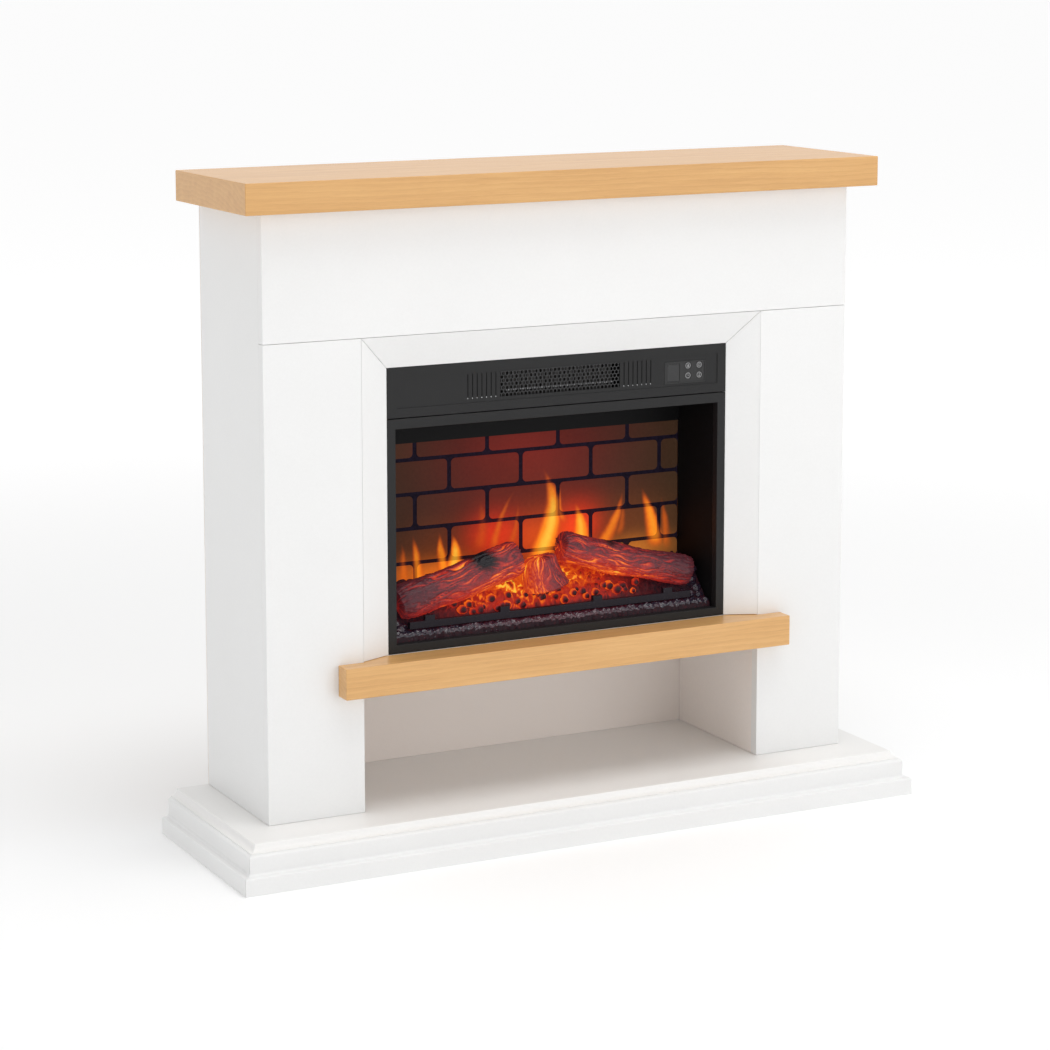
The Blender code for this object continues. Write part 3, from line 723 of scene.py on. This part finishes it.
def makeSymbol(kind, middle):
    wire = keyLook["symbolWire"]
    up, side, deep = Vector((0, 0, 1)), Vector((1, 0, 0)), Vector((0, wire, 0))
    if kind == "power":
        arc = flatRing("arc", 0.0019, wire, middle)
        # whole segments go, so that both cut ends are clean
        pickFaces(arc, lambda centre, normal: keyLook["arcGap"]
                  > abs(math.atan2(centre.x - middle.x, centre.z - middle.z)))
        bpy.ops.mesh.delete(type="FACE")
        bpy.ops.mesh.select_all(action="SELECT")
        bpy.ops.mesh.fill_holes(sides=0)
        leaveEdit()
        return [arc, startRod("bar", wire, middle + up * 0.0005, middle + up * 0.0026, 10)]
    if kind == "timer":
        return [startRod("hour", wire, middle - up * 0.0003, middle + up * 0.0020, 10),
                startRod("minute", wire, middle - side * 0.0003, middle + side * 0.0016, 10)]
    if kind == "heat":
        foot = middle - up * 0.0016
        bulb = startRod("bulb", 0.0010, foot - deep, foot + deep, 18)
        stem = startRod("stem", wire * 1.4, middle - up * 0.0008, middle + up * 0.0026, 12)
        ticks = [startRod("tick", wire * 0.7, middle + up * z + side * 0.0007,
                          middle + up * z + side * 0.0014, 8) for z in (0.0006, 0.0014, 0.0022)]
        return [bulb, stem, *ticks]
    foot = middle - up * 0.0008
    drop = startRod("drop", 0.0015, foot - deep, foot + deep, 20)
    for vertex in drop.data.vertices:
        rise = vertex.co.z - (middle.z - 0.0008)
        if rise > 0:
            vertex.co.x = middle.x + (vertex.co.x - middle.x) * (1 - rise / 0.0019) + 0.15 * rise
            vertex.co.z += rise * 1.4
    return [drop]


def makeKeys():
    for kind, key in keys.items():
        low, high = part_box(key["node"])
        middle = (low + high) / 2
        cap = startRod(kind + "Key", (high.x - low.x) / 2, (middle.x, high.y, middle.z),
                       (middle.x, low.y + 0.0001, middle.z), 40)
        stepFaces(cap, lambda centre, normal: normal.y < -0.9, keyLook["rim"], keyLook["dish"])
        softenEdges(cap, 0.0003, 2)
        fit(cap, keyPlastic, "key_plastic", key["node"], body=key["body"])
        front = Vector((middle.x, low.y + 0.00020, middle.z))
        marks = [flatRing("ring", keyLook["ring"], keyLook["ringWire"], front)] + makeSymbol(kind, front)
        mark = joinPieces(kind + "Mark", marks)
        smoothFaces(mark)
        fit(mark, keyPrint, "key_plastic", body=key["body"])


frameLook = {"openX": 0.283, "openZ": (0.3185, 0.653), "edge": 0.0007}


def makeFrame():
    low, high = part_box("fire_frame")
    ring = startBlock("fireFrame", low, high)
    side, (foot, head) = frameLook["openX"], frameLook["openZ"]
    carve(ring, startBlock("openingCut", (-side, low.y - 0.02, foot), (side, high.y + 0.02, head)))
    softenEdges(ring, frameLook["edge"])
    fit(ring, blackFront, "black_front", "fire_frame")


makeBand()
makeLouvreLips()
makeGrille()
makeOutletFins()
makePod()
makeKeys()
makeFrame()
print("fire front made")


# Glow of the fire screen

tongues = [
    # foot x, foot z, height, lean, sway, width, strength
    (0.030, 0.408, 0.152, -0.002, 0.023, 0.022, 1.00),
    (0.070, 0.462, 0.062, -0.004, -0.005, 0.008, 0.50),
    (0.103, 0.420, 0.075, -0.010, 0.004, 0.017, 0.88),
    (0.142, 0.412, 0.098, 0.040, 0.007, 0.015, 0.58),
    (0.172, 0.430, 0.060, 0.006, 0.004, 0.010, 0.34),
    (0.240, 0.412, 0.098, -0.028, 0.005, 0.016, 0.78),
    (-0.054, 0.430, 0.100, 0.048, -0.010, 0.010, 0.42),
    (-0.022, 0.432, 0.075, 0.010, 0.005, 0.009, 0.34),
    (-0.080, 0.432, 0.088, -0.004, 0.008, 0.016, 0.30),
    (-0.126, 0.398, 0.064, -0.004, 0.005, 0.015, 0.95),
    (-0.142, 0.398, 0.070, -0.008, -0.003, 0.011, 0.72),
    (-0.188, 0.384, 0.084, -0.014, 0.005, 0.012, 0.70),
    (-0.214, 0.388, 0.070, -0.005, 0.003, 0.010, 0.42),
    (0.262, 0.404, 0.092, -0.012, 0.003, 0.011, 0.36),
]
glowSpots = [
    # x, z, reach across, reach up, colour
    (-0.005, 0.590, 0.150, 0.070, (0.090, 0.000, 0.000)),
    (0.000, 0.510, 0.120, 0.070, (0.055, 0.004, 0.001)),
    (-0.055, 0.448, 0.045, 0.036, (0.640, 0.016, 0.000)),
    (0.100, 0.450, 0.040, 0.038, (0.640, 0.020, 0.000)),
    (0.030, 0.435, 0.055, 0.045, (0.500, 0.050, 0.000)),
    (-0.165, 0.392, 0.085, 0.026, (0.620, 0.120, 0.004)),
    (-0.150, 0.440, 0.070, 0.040, (0.080, 0.015, 0.001)),
    (0.200, 0.400, 0.070, 0.022, (0.420, 0.120, 0.010)),
    (0.190, 0.450, 0.070, 0.045, (0.090, 0.020, 0.002)),
]


def makeTongueGroup():
    group = bpy.data.node_groups.new("flameTongue", "ShaderNodeTree")
    names = ("X", "Z", "Foot X", "Foot Z", "Height", "Lean", "Sway", "Width", "Strength")
    for name in names:
        group.interface.new_socket(name, in_out="INPUT", socket_type="NodeSocketFloat")
    group.interface.new_socket("Heat", in_out="OUTPUT", socket_type="NodeSocketFloat")
    given = group.nodes.new("NodeGroupInput").outputs
    result = group.nodes.new("NodeGroupOutput").inputs
    rise = calc(group, "DIVIDE", calc(group, "SUBTRACT", given["Z"], given["Foot Z"]), given["Height"])
    lean = calc(group, "MULTIPLY", given["Lean"], rise)
    sway = calc(group, "MULTIPLY", given["Sway"],
                calc(group, "SINE", calc(group, "MULTIPLY", rise, math.pi)))
    middle = calc(group, "ADD", calc(group, "ADD", given["Foot X"], lean), sway)
    left = calc(group, "MAXIMUM", calc(group, "SUBTRACT", 1.0, rise), 0.0)
    width = calc(group, "MULTIPLY", given["Width"], calc(group, "POWER", left, 0.85))
    width = calc(group, "MAXIMUM", width, 0.0006)
    away = calc(group, "ABSOLUTE", calc(group, "SUBTRACT", given["X"], middle))
    away = calc(group, "DIVIDE", away, width)
    body = rescale(group, away, 1.70, 0.0, smooth=True)
    foot = rescale(group, rise, -0.25, 0.10, smooth=True)
    tip = rescale(group, rise, 1.0, 0.45, 0.0, 1.0, smooth=True)
    heat = calc(group, "MULTIPLY", calc(group, "MULTIPLY", body, foot), tip)
    feed(group, result["Heat"], calc(group, "MULTIPLY", heat, given["Strength"]))
    return group


tongueGroup = makeTongueGroup()


def addFireGlow(tree, base):
    # returns the colour of the lit screen, and the heat of its flames
    place = addNode(tree, "SeparateXYZ", {0: stretched(tree)})
    ripple = cloud(tree, stretched(tree, (26, 1, 18)), 1.0, 3.0)
    wobble = calc(tree, "MULTIPLY", calc(tree, "SUBTRACT", ripple, 0.5), 0.012)
    x = calc(tree, "ADD", place.outputs["X"], wobble)
    z = place.outputs["Z"]
    total = None
    for tongue in tongues:
        made = addNode(tree, "Group", {"X": x, "Z": z}, node_tree=tongueGroup)
        for socket, value in zip(made.inputs[2:], tongue):
            socket.default_value = value
        total = made.outputs[0] if total is None else calc(tree, "MAXIMUM", total, made.outputs[0])
    colour = base
    for spotX, spotZ, across, up, tint in glowSpots:
        dx = calc(tree, "DIVIDE", calc(tree, "SUBTRACT", place.outputs["X"], spotX), across)
        dz = calc(tree, "DIVIDE", calc(tree, "SUBTRACT", z, spotZ), up)
        reach = calc(tree, "ADD", calc(tree, "MULTIPLY", dx, dx), calc(tree, "MULTIPLY", dz, dz))
        amount = calc(tree, "EXPONENT", calc(tree, "MULTIPLY", reach, -1.0))
        colour = blendColour(tree, amount, colour, tint, "ADD")
    flame = colourRamp(tree, total, [(0.0, (0.34, 0.030, 0.003)), (0.38, (0.80, 0.13, 0.008)),
                                     (0.74, (0.98, 0.27, 0.014)), (1.0, (1.0, 0.50, 0.045))])
    cover = rescale(tree, total, 0.02, 0.68, smooth=True)
    return blendColour(tree, cover, colour, flame), total


def makeBrickPrint():
    finish, tree, shader = startFinish("brickPrint", specular=0.08)
    place = stretched(tree)
    speck = cloud(tree, place, 170.0, 4.0, 0.65)
    patch = cloud(tree, place, 16.0, 3.0)
    shade = addNode(tree, "Attribute", attribute_name="brickShade").outputs["Fac"]
    sides = calc(tree, "ABSOLUTE", addNode(tree, "SeparateXYZ", {0: place}).outputs["X"])
    base = colourRamp(tree, rescale(tree, sides, 0.10, 0.27),
                      [(0.0, (0.036, 0.009, 0.007)), (1.0, (0.034, 0.019, 0.009))])
    tone = calc(tree, "ADD", weigh(tree, (speck, 0.30), (patch, 0.30)), 0.62)
    feedAll(tree, shader, {
        "Base Color": blendColour(tree, speck, (0.016, 0.007, 0.006), (0.034, 0.015, 0.011)),
        "Emission Color": addFireGlow(tree, base)[0],
        "Emission Strength": calc(tree, "ADD", tone, calc(tree, "MULTIPLY", shade, 0.18)),
        "Roughness": rescale(tree, speck, 0.3, 0.7, 0.55, 0.70),
    })
    addBump(tree, shader, speck, 0.0002)
    return finish


def makeMortarPrint():
    finish, tree, shader = startFinish("mortarPrint", specular=0.05)
    speck = cloud(tree, stretched(tree), 260.0, 3.0)
    lit, heat = addFireGlow(tree, (0.012, 0.008, 0.016))
    dark = colourRamp(tree, speck, [(0.3, (0.003, 0.002, 0.005)), (0.7, (0.007, 0.005, 0.011))])
    cover = rescale(tree, heat, 0.10, 0.80, 0.04, 0.72, smooth=True)
    feedAll(tree, shader, {
        "Base Color": dark, "Emission Color": blendColour(tree, cover, dark, lit),
        "Emission Strength": 0.85, "Roughness": rescale(tree, speck, 0.3, 0.7, 0.60, 0.72),
    })
    addBump(tree, shader, speck, 0.0001)
    return finish


brickLook = {"pitchX": 0.127, "pitchZ": 0.055, "gapX": 0.0070, "gapZ": 0.0060, "corner": 0.0070,
             "raise": 0.0008, "jointZ": 0.580, "jointX": 0.061, "shift": 0.060, "smallest": 0.016}


def makeScreen():
    low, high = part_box("brick_screen")
    sheet = startBlock("mortarSheet", (low.x, low.y + brickLook["raise"], low.z), high)
    softenEdges(sheet, 0.0002, 2)
    fit(sheet, makeMortarPrint(), "brick_print", "brick_screen")
    rear = low.y + brickLook["raise"] + 0.0002  # each brick is let into the sheet
    rng = random.Random(5)
    bricks = []
    for row in range(-6, 3):
        foot = brickLook["jointZ"] + row * brickLook["pitchZ"] + brickLook["gapZ"] / 2
        head = min(foot + brickLook["pitchZ"] - brickLook["gapZ"], high.z)
        if foot < low.z + 0.02 or head - foot < brickLook["smallest"]:
            continue
        shift = brickLook["jointX"] + (0.0 if row % 2 == 0 else brickLook["shift"])
        for column in range(-4, 4):
            start = max(low.x, shift + column * brickLook["pitchX"] + brickLook["gapX"] / 2)
            end = min(high.x, shift + (column + 1) * brickLook["pitchX"] - brickLook["gapX"] / 2)
            if end - start < brickLook["smallest"]:
                continue
            brick = roundedBlock("brick", (start, low.y, foot), (end, rear, head), brickLook["corner"],
                                 segments=5)
            storeField(brick, "brickShade", [rng.uniform(-1.0, 1.0)] * len(brick.data.vertices))
            applyStep(brick, "BEVEL", width=0.0004, segments=2, limit_method="ANGLE",
                      angle_limit=math.radians(50))
            bricks.append(brick)
    wall = joinPieces("brickTiles", bricks)
    smoothFaces(wall)
    fit(wall, makeBrickPrint(), "brick_print")


makeScreen()
print("screen made")


# Fuel bed

def emberFinish(name, cool, gloss, specular=0.5):
    # the mesh says where it glows and where it is charred black
    finish, tree, shader = startFinish(name, specular=specular)
    heat = addNode(tree, "Attribute", attribute_name="glowHeat").outputs["Fac"]
    char = addNode(tree, "Attribute", attribute_name="charred").outputs["Fac"]
    place = stretched(tree)
    speck = cloud(tree, place, 210.0, 4.0, 0.6)
    flicker = calc(tree, "MULTIPLY", calc(tree, "SUBTRACT", speck, 0.5), 0.35)
    lively = calc(tree, "ADD", heat, flicker)
    glow = colourRamp(tree, lively, [(0.0, (0.004, 0.002, 0.004)), (0.22, (0.085, 0.006, 0.007)),
                                     (0.50, (0.42, 0.018, 0.006)), (0.76, (0.88, 0.13, 0.006)),
                                     (1.0, (1.0, 0.52, 0.045))])
    base = blendColour(tree, speck, cool, [c * 2.2 for c in cool])
    feedAll(tree, shader, {
        "Base Color": blendColour(tree, char, base, (0.006, 0.005, 0.007)),
        "Emission Color": blendColour(tree, char, glow, (0.002, 0.001, 0.002)),
        "Emission Strength": 1.0,
        "Roughness": rescale(tree, speck, 0.3, 0.7, gloss - 0.08, gloss + 0.12),
    })
    addBump(tree, shader, speck, 0.0006)
    return finish


logFinish = emberFinish("barkResin", (0.022, 0.009, 0.013), 0.44, 0.34)
heapFinish = emberFinish("emberResin", (0.010, 0.004, 0.005), 0.52, 0.14)
nuggetFinish = emberFinish("nuggetResin", (0.012, 0.005, 0.008), 0.46, 0.20)
coalFinish = emberFinish("coalResin", (0.008, 0.007, 0.013), 0.20, 0.62)
grateFinish = grainyFinish("grateResin", (0.010, 0.007, 0.013), 0.15, 0.50, 600.0, 0.0001,
                           specular=0.24)


def storeGlow(piece, heats, chars=None):
    storeField(piece, "glowHeat", heats)
    storeField(piece, "charred", chars or [0.0] * len(heats))


def smoothStep(low, high, value):
    t = max(0.0, min(1.0, (value - low) / (high - low)))
    return t * t * (3 - 2 * t)


logs = {
    "leftLog": {"node": "log_left", "start": (-0.258, 0.052, 0.371), "end": (-0.050, 0.056, 0.424),
                "radii": (0.0265, 0.0285), "seed": 2.0, "hot": (-0.110, 0.12),
                "charAt": (-0.115, 0.430, 0.025), "knot": (-0.105, 0.402)},
    "middleLog": {"node": "log_middle", "start": (-0.012, 0.047, 0.421), "end": (-0.002, 0.043, 0.372),
                  "radii": (0.0235, 0.0360), "seed": 7.0, "hot": (0.0, 0.2),
                  "charAt": (0.008, 0.436, 0.014), "knot": None},
    "rightLog": {"node": "log_right", "start": (0.030, 0.054, 0.434), "end": (0.258, 0.050, 0.374),
                 "radii": (0.0240, 0.0230), "seed": 11.0, "hot": (0.100, 0.12),
                 "charAt": (0.118, 0.438, 0.016), "knot": None},
}
logDetail = {"around": 132, "rings": 150, "ridge": 0.0027, "gnarl": 0.0030}


def makeLog(name, look):
    start = Vector(look["start"]) + Vector((0, face, 0))
    end = Vector(look["end"]) + Vector((0, face, 0))
    length = (end - start).length
    bar = startRod(name, 1.0, (0, 0, 0), (0, 0, 1), logDetail["around"])
    pickFaces(bar, lambda centre, normal: abs(normal.z) > 0.9)
    bpy.ops.mesh.inset(thickness=0.30)
    bpy.ops.mesh.inset(thickness=0.30)
    leaveEdit()
    for i in range(1, logDetail["rings"]):
        sliceAt(bar, (0, 0, i / logDetail["rings"]), (0, 0, 1))
    along = (end - start).normalized()
    across = along.cross(Vector((0, 1, 0))).normalized()
    outward = across.cross(along)
    seed = look["seed"]
    heats, chars = [], []
    for vertex in bar.data.vertices:
        x, y, t = vertex.co
        reach = math.hypot(x, y)
        angle = math.atan2(y, x)
        radius = look["radii"][0] + (look["radii"][1] - look["radii"][0]) * t
        turn = Vector((math.cos(angle), math.sin(angle), 0))
        broad = noise.noise(turn * 1.1 + Vector((0, 0, t * length * 16 + seed)))
        swirl = noise.noise(turn * 2.0 + Vector((seed, 0, t * length * 30)))
        bent = angle + swirl * 0.4
        crease = Vector((math.cos(bent) * 10, math.sin(bent) * 10, t * length * 24 + seed))
        ridge = 1 - abs(noise.noise(crease)) * 2.4
        fine = noise.noise(Vector((math.cos(angle) * 20, math.sin(angle) * 20, t * length * 110 + seed)))
        edge = smoothStep(0.0, 0.05, t) * smoothStep(0.0, 0.05, 1 - t)
        bulge = logDetail["gnarl"] * broad + logDetail["ridge"] * (ridge * 0.55 + fine * 0.35)
        size = (radius * (0.90 + 0.10 * edge) + bulge) * reach
        sag = across * (-0.004 * math.sin(math.pi * t))
        cap = along * (0.0022 * fine + 0.0035 * (1 - reach)) * (0 if 0.001 < t < 0.999 else 1)
        cap = cap if t > 0.5 else -cap
        vertex.co = start + along * (length * t) + sag + cap
        vertex.co += (across * math.cos(angle) + outward * math.sin(angle)) * size
        point = vertex.co
        if look["knot"]:
            near = math.hypot(point.x - look["knot"][0], point.z - look["knot"][1])
            swell = math.exp(-(near / 0.013) ** 2) - 0.55 * math.exp(-(near / 0.006) ** 2)
            if point.y < start.y:
                vertex.co.y -= 0.0030 * swell
        depth = max(0.0, 0.62 - ridge) * 1.1
        under = math.cos(angle) if across.z > 0 else -math.cos(angle)
        down = smoothStep(0.35, -0.9, under)
        reachX = math.exp(-((point.x - look["hot"][0]) / look["hot"][1]) ** 2)
        heat = (0.25 + 0.30 * down + 0.40 * depth) * (0.20 + 0.80 * reachX)
        heats.append(heat)
        cx, cz, cr = look["charAt"]
        spot = math.hypot((point.x - cx) * 0.8, (point.z - cz) * 1.3) + 0.006 * broad
        chars.append(smoothStep(cr, cr * 0.45, spot))
    storeGlow(bar, heats, chars)
    faceOutwards(bar)
    bpy.ops.object.shade_smooth()
    fit(bar, logFinish, "log_resin", look["node"])


heapLook = {"columns": 270, "rows": 60, "lump": 0.0050, "front": 0.0160, "depth": 0.1045}
heapSlope = [(0.0160, 0.3240), (0.0230, 0.3290), (0.0340, 0.3310), (0.0400, 0.3440), (0.0500, 0.3600),
             (0.0620, 0.3720), (0.0820, 0.3860), (0.1200, 0.3970)]


def slopeHeight(y):
    for (y0, z0), (y1, z1) in zip(heapSlope, heapSlope[1:]):
        if y <= y1:
            return z0 + (z1 - z0) * max(0.0, (y - y0) / (y1 - y0))
    return heapSlope[-1][1]


def makeHeap():
    low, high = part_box("ember_bed")
    clearSelection()
    bpy.ops.mesh.primitive_grid_add(x_subdivisions=heapLook["columns"], y_subdivisions=heapLook["rows"],
                                    size=2, location=(0, 0, 0))
    heap = bpy.context.object
    heap.name = "emberHeap"
    heats, chars = [], []
    for vertex in heap.data.vertices:
        x = vertex.co.x * (high.x - 0.0006)
        y = heapLook["front"] + (vertex.co.y + 1) / 2 * heapLook["depth"]
        cells = noise.voronoi(Vector((x * 62 + 3, y * 62, 1.5)))[0]
        lump = smoothStep(0.0, 0.55, cells[1] - cells[0])
        fine = noise.noise(Vector((x * 260, y * 260, 4)))
        broad = noise.noise(Vector((x * 14, y * 20, 9)))
        onSlope = smoothStep(0.036, 0.044, y)
        z = slopeHeight(y) + onSlope * (heapLook["lump"] * lump + 0.004 * broad) + 0.0009 * fine
        middle = math.exp(-((x + 0.010) / 0.165) ** 4)
        z -= 0.010 * onSlope * (1 - middle)
        vertex.co = (x, face + y, z)
        veins = noise.voronoi(Vector((x * 95, y * 95, 6.0)))[0]
        vein = smoothStep(0.16, 0.02, veins[1] - veins[0])
        hotBand = smoothStep(-0.12, 0.17, noise.noise(Vector((x * 24, y * 30, 2))))
        up = smoothStep(0.045, 0.066, y)
        spread = 1 - 0.30 * math.exp(-((x - 0.060) / 0.045) ** 2)
        heat = 0.48 + 0.14 * (1 - lump) * up
        heat += vein * (0.06 + 0.50 * hotBand) * (0.60 + 0.40 * up) * spread
        heats.append(heat * (onSlope * middle))
        char = smoothStep(0.52, 0.80, lump) * smoothStep(0.10, 0.34, fine + 0.3 * broad)
        chars.append(onSlope * char * 0.7)
    storeGlow(heap, heats, chars)
    editAll(heap)
    bpy.ops.mesh.extrude_region_move(TRANSFORM_OT_translate={"value": (0, 0, -0.05)})
    leaveEdit()
    for vertex in heap.data.vertices:
        if vertex.select:
            vertex.co.z = low.z + 0.0002
    faceOutwards(heap)
    bpy.ops.object.shade_smooth_by_angle(angle=math.radians(55))
    fit(heap, heapFinish, "ember_resin", "ember_bed")


def makeLump(name, middle, radius, seed, detail=2, stretch=(1, 1, 1)):
    clearSelection()
    bpy.ops.mesh.primitive_ico_sphere_add(subdivisions=detail, radius=1.0, location=(0, 0, 0))
    lump = bpy.context.object
    lump.name = name
    for vertex in lump.data.vertices:
        way = vertex.co.normalized()
        size = radius * (1 + 0.30 * noise.noise(way * 1.3 + Vector((seed, 0, 0)))
                         + 0.16 * noise.noise(way * 3.2 + Vector((0, seed, 0))))
        vertex.co = Vector(middle) + Vector([w * s * size for w, s in zip(way, stretch)])
    return lump


nuggetLook = {"count": 34, "small": 0.0046, "large": 0.0086, "left": -0.165, "spread": 0.330,
              "y": (0.041, 0.054), "lift": 0.002}


def makeNuggets():
    rng = random.Random(21)
    lumps = []
    for i in range(nuggetLook["count"]):
        x = nuggetLook["left"] + nuggetLook["spread"] * (i + rng.random()) / nuggetLook["count"]
        y = rng.uniform(*nuggetLook["y"])
        radius = rng.uniform(nuggetLook["small"], nuggetLook["large"])
        middle = (x, face + y, slopeHeight(y) + nuggetLook["lift"])
        lump = makeLump("nugget", middle, radius, i * 1.7, 3, (1.0, 0.9, 0.95))
        heats, chars = [], []
        for vertex in lump.data.vertices:
            way = (vertex.co - Vector(middle)).normalized()
            rim = math.hypot(way.x, way.z)
            heats.append(0.24 + 0.50 * smoothStep(0.62, 0.96, rim) * (0.45 + 0.55 * math.sin(i * 2.3) ** 2))
            chars.append(0.82 * smoothStep(0.80, 0.35, rim))
        storeGlow(lump, heats, chars)
        lumps.append(lump)
    pile = joinPieces("emberNuggets", lumps)
    makeActive(pile)
    bpy.ops.object.shade_smooth()
    fit(pile, nuggetFinish, "ember_resin")


coals = [
    # x, depth behind the fire front, z, radius
    (0.262, 0.052, 0.356, 0.012), (0.272, 0.046, 0.343, 0.009), (0.268, 0.062, 0.372, 0.012),
    (0.272, 0.036, 0.334, 0.007), (0.256, 0.036, 0.337, 0.007), (0.273, 0.074, 0.383, 0.008),
    (-0.270, 0.040, 0.340, 0.010), (-0.262, 0.032, 0.333, 0.008), (-0.272, 0.058, 0.350, 0.008),
    (-0.255, 0.040, 0.336, 0.007), (0.245, 0.042, 0.338, 0.008), (0.259, 0.070, 0.386, 0.009),
]


def makeCoals():
    lumps = []
    for i, (x, y, z, radius) in enumerate(coals):
        lump = makeLump("coal", (x, face + y, z), radius, 30 + i * 2.3, 4, (1.0, 0.9, 0.85))
        storeGlow(lump, [0.0] * len(lump.data.vertices))
        lumps.append(lump)
    pile = joinPieces("endCoals", lumps)
    makeActive(pile)
    bpy.ops.object.shade_smooth()
    fit(pile, coalFinish, "ember_resin")


ashLook = {"left": -0.2795, "width": 0.559, "depth": 0.0250, "z": 0.3215, "reachY": 0.0078,
           "reachZ": 0.0105, "rings": 300}


def makeAshStrip():
    # a rough low bank along the front of the bed
    strip = startRod("ashStrip", 1.0, (0, 0, 0), (0, 0, 1), 28)
    for i in range(1, ashLook["rings"]):
        sliceAt(strip, (0, 0, i / ashLook["rings"]), (0, 0, 1))
    heats = []
    for vertex in strip.data.vertices:
        across, up, t = vertex.co
        x = ashLook["left"] + ashLook["width"] * t
        rough = 1 + 0.34 * noise.noise(Vector((across * 2.2, up * 2.2, x * 150)))
        rough += 0.26 * noise.noise(Vector((across * 5, up * 5, x * 330)))
        vertex.co = (x, face + ashLook["depth"] + across * ashLook["reachY"] * rough,
                     ashLook["z"] + up * ashLook["reachZ"] * rough)
        heats.append(0.10 * math.exp(-(x / 0.16) ** 2))
    storeGlow(strip, heats)
    faceOutwards(strip)
    bpy.ops.object.shade_smooth()
    fit(strip, coalFinish, "ember_resin")


grateLook = {"foot": 0.3340, "head": 0.3455, "stubs": (-0.215, -0.085, 0.080, 0.208),
             "stubHalf": 0.0085, "stubHeight": 0.0085, "edge": 0.0010}


def makeGrate():
    low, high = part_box("grate_bar")
    bar = startBlock("grateBar", (low.x, low.y, grateLook["foot"]), (high.x, high.y, grateLook["head"]))
    stubs, half = grateLook["stubs"], grateLook["stubHalf"]
    for x in stubs:
        for side in (-1, 1):
            sliceAt(bar, (x + side * half, 0, 0), (1, 0, 0))
    pickFaces(bar, lambda centre, normal:
              normal.z > 0.9 and min(abs(centre.x - x) for x in stubs) < half / 2)
    bpy.ops.mesh.extrude_region_move(TRANSFORM_OT_translate={"value": (0, 0, grateLook["stubHeight"])})
    leaveEdit()
    softenEdges(bar, grateLook["edge"])
    fit(bar, grateFinish, "grate_resin", "grate_bar")


for name, look in logs.items():
    makeLog(name, look)
makeHeap()
makeNuggets()
makeCoals()
makeAshStrip()
makeGrate()
print("fuel bed made")


# Frame nodes that keep their own shape

kept = {
    "insert_case": zincSteel, "insert_back": zincSteel, "control_board": boardGreen,
    "left_liner": blackLiner, "right_liner": blackLiner, "header_baffle": blackLiner,
    "flame_spindle": mirrorFoil, "spindle_motor": motorCan, "spindle_bearing": nylon,
    # the heater duct takes the black liner finish and the heater element a near-black finish: painted shade
    # for the dark case behind the net
    "flame_led_board": boardWhite, "ember_led_strip": boardWhite, "heater_duct": blackLiner,
    "heater_element": heaterCeramicPaintedShade, "blower_wheel": millAluminium, "blower_motor": motorCan,
    "cable_gland": glandRubber, "left_lug": zincSteel, "right_lug": zincSteel,
    "left_lug_screw": zincSteel, "right_lug_screw": zincSteel,
}
for node, finish in kept.items():
    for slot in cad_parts[node].material_slots:
        slot.material = finish
print("kept nodes finished")


# Floor, light and camera

studio = {"floorSize": 240.0, "nearGlow": 0.035, "farGlow": 0.34, "horizon": 1.0, "zenith": 0.66,
          "lightSize": 3.0}
lights = {
    "keyLight": {"power": 36.0, "place": (2.3, -4.9, 1.9), "aim": (0, 0, 0.4)},
    "topLight": {"power": 100.0, "place": (0.2, -0.9, 4.8), "aim": (0, -0.3, 0.1)},
}
view = {"lens": 101.21, "shift": (0.0714, -0.1495), "place": (-2.1313, -4.04785, 1.398),
        "heading": -25.9098, "dip": 8.4178, "roll": -0.2392}


def makeStudio():
    scene = bpy.context.scene
    scene.view_settings.view_transform = "Standard"
    clearSelection()
    bpy.ops.mesh.primitive_plane_add(size=studio["floorSize"], location=(0, 0, 0))
    floor = bpy.context.object
    floor.name = "studioFloor"
    finish, tree, shader = startFinish("paleFloor", specular=0.0)
    shader.inputs["Base Color"].default_value = (0.93, 0.93, 0.93, 1)
    shader.inputs["Roughness"].default_value = 0.9
    shader.inputs["Emission Color"].default_value = (1, 1, 1, 1)
    away = addNode(tree, "VectorMath", {0: stretched(tree)}, operation="LENGTH").outputs["Value"]
    feed(tree, shader.inputs["Emission Strength"],
         rescale(tree, away, 1.2, 5.0, studio["nearGlow"], studio["farGlow"], smooth=True))
    floor.data.materials.append(finish)
    world = bpy.data.worlds.new("studioWorld")
    scene.world = world
    world.use_nodes = True
    sky = world.node_tree
    way = addNode(sky, "SeparateXYZ", {0: addNode(sky, "TexCoord").outputs["Generated"]}).outputs["Z"]
    sky.nodes["Background"].inputs["Color"].default_value = (1, 1, 1, 1)
    feed(sky, sky.nodes["Background"].inputs["Strength"],
         rescale(sky, way, 0.10, 0.34, studio["horizon"], studio["zenith"], smooth=True))
    for name, look in lights.items():
        lamp = bpy.data.lights.new(name, "AREA")
        lamp.energy = look["power"]
        lamp.size = studio["lightSize"]
        light = bpy.data.objects.new(name, lamp)
        scene.collection.objects.link(light)
        light.location = look["place"]
        light.rotation_euler = (Vector(look["aim"]) - light.location).to_track_quat("-Z", "Y").to_euler()
    lens = bpy.data.cameras.new("mainCamera")
    lens.sensor_width = 36.0
    lens.lens = view["lens"]
    lens.shift_x, lens.shift_y = view["shift"]
    lens.clip_end = 400.0
    camera = bpy.data.objects.new("mainCamera", lens)
    scene.collection.objects.link(camera)
    camera.location = view["place"]
    turn = Matrix.Identity(3)
    for degrees, axis in ((view["heading"], "Z"), (90 - view["dip"], "X"), (view["roll"], "Z")):
        turn = turn @ Matrix.Rotation(math.radians(degrees), 3, axis)
    camera.rotation_euler = turn.to_euler()
    scene.camera = camera


makeStudio()
print("studio made")
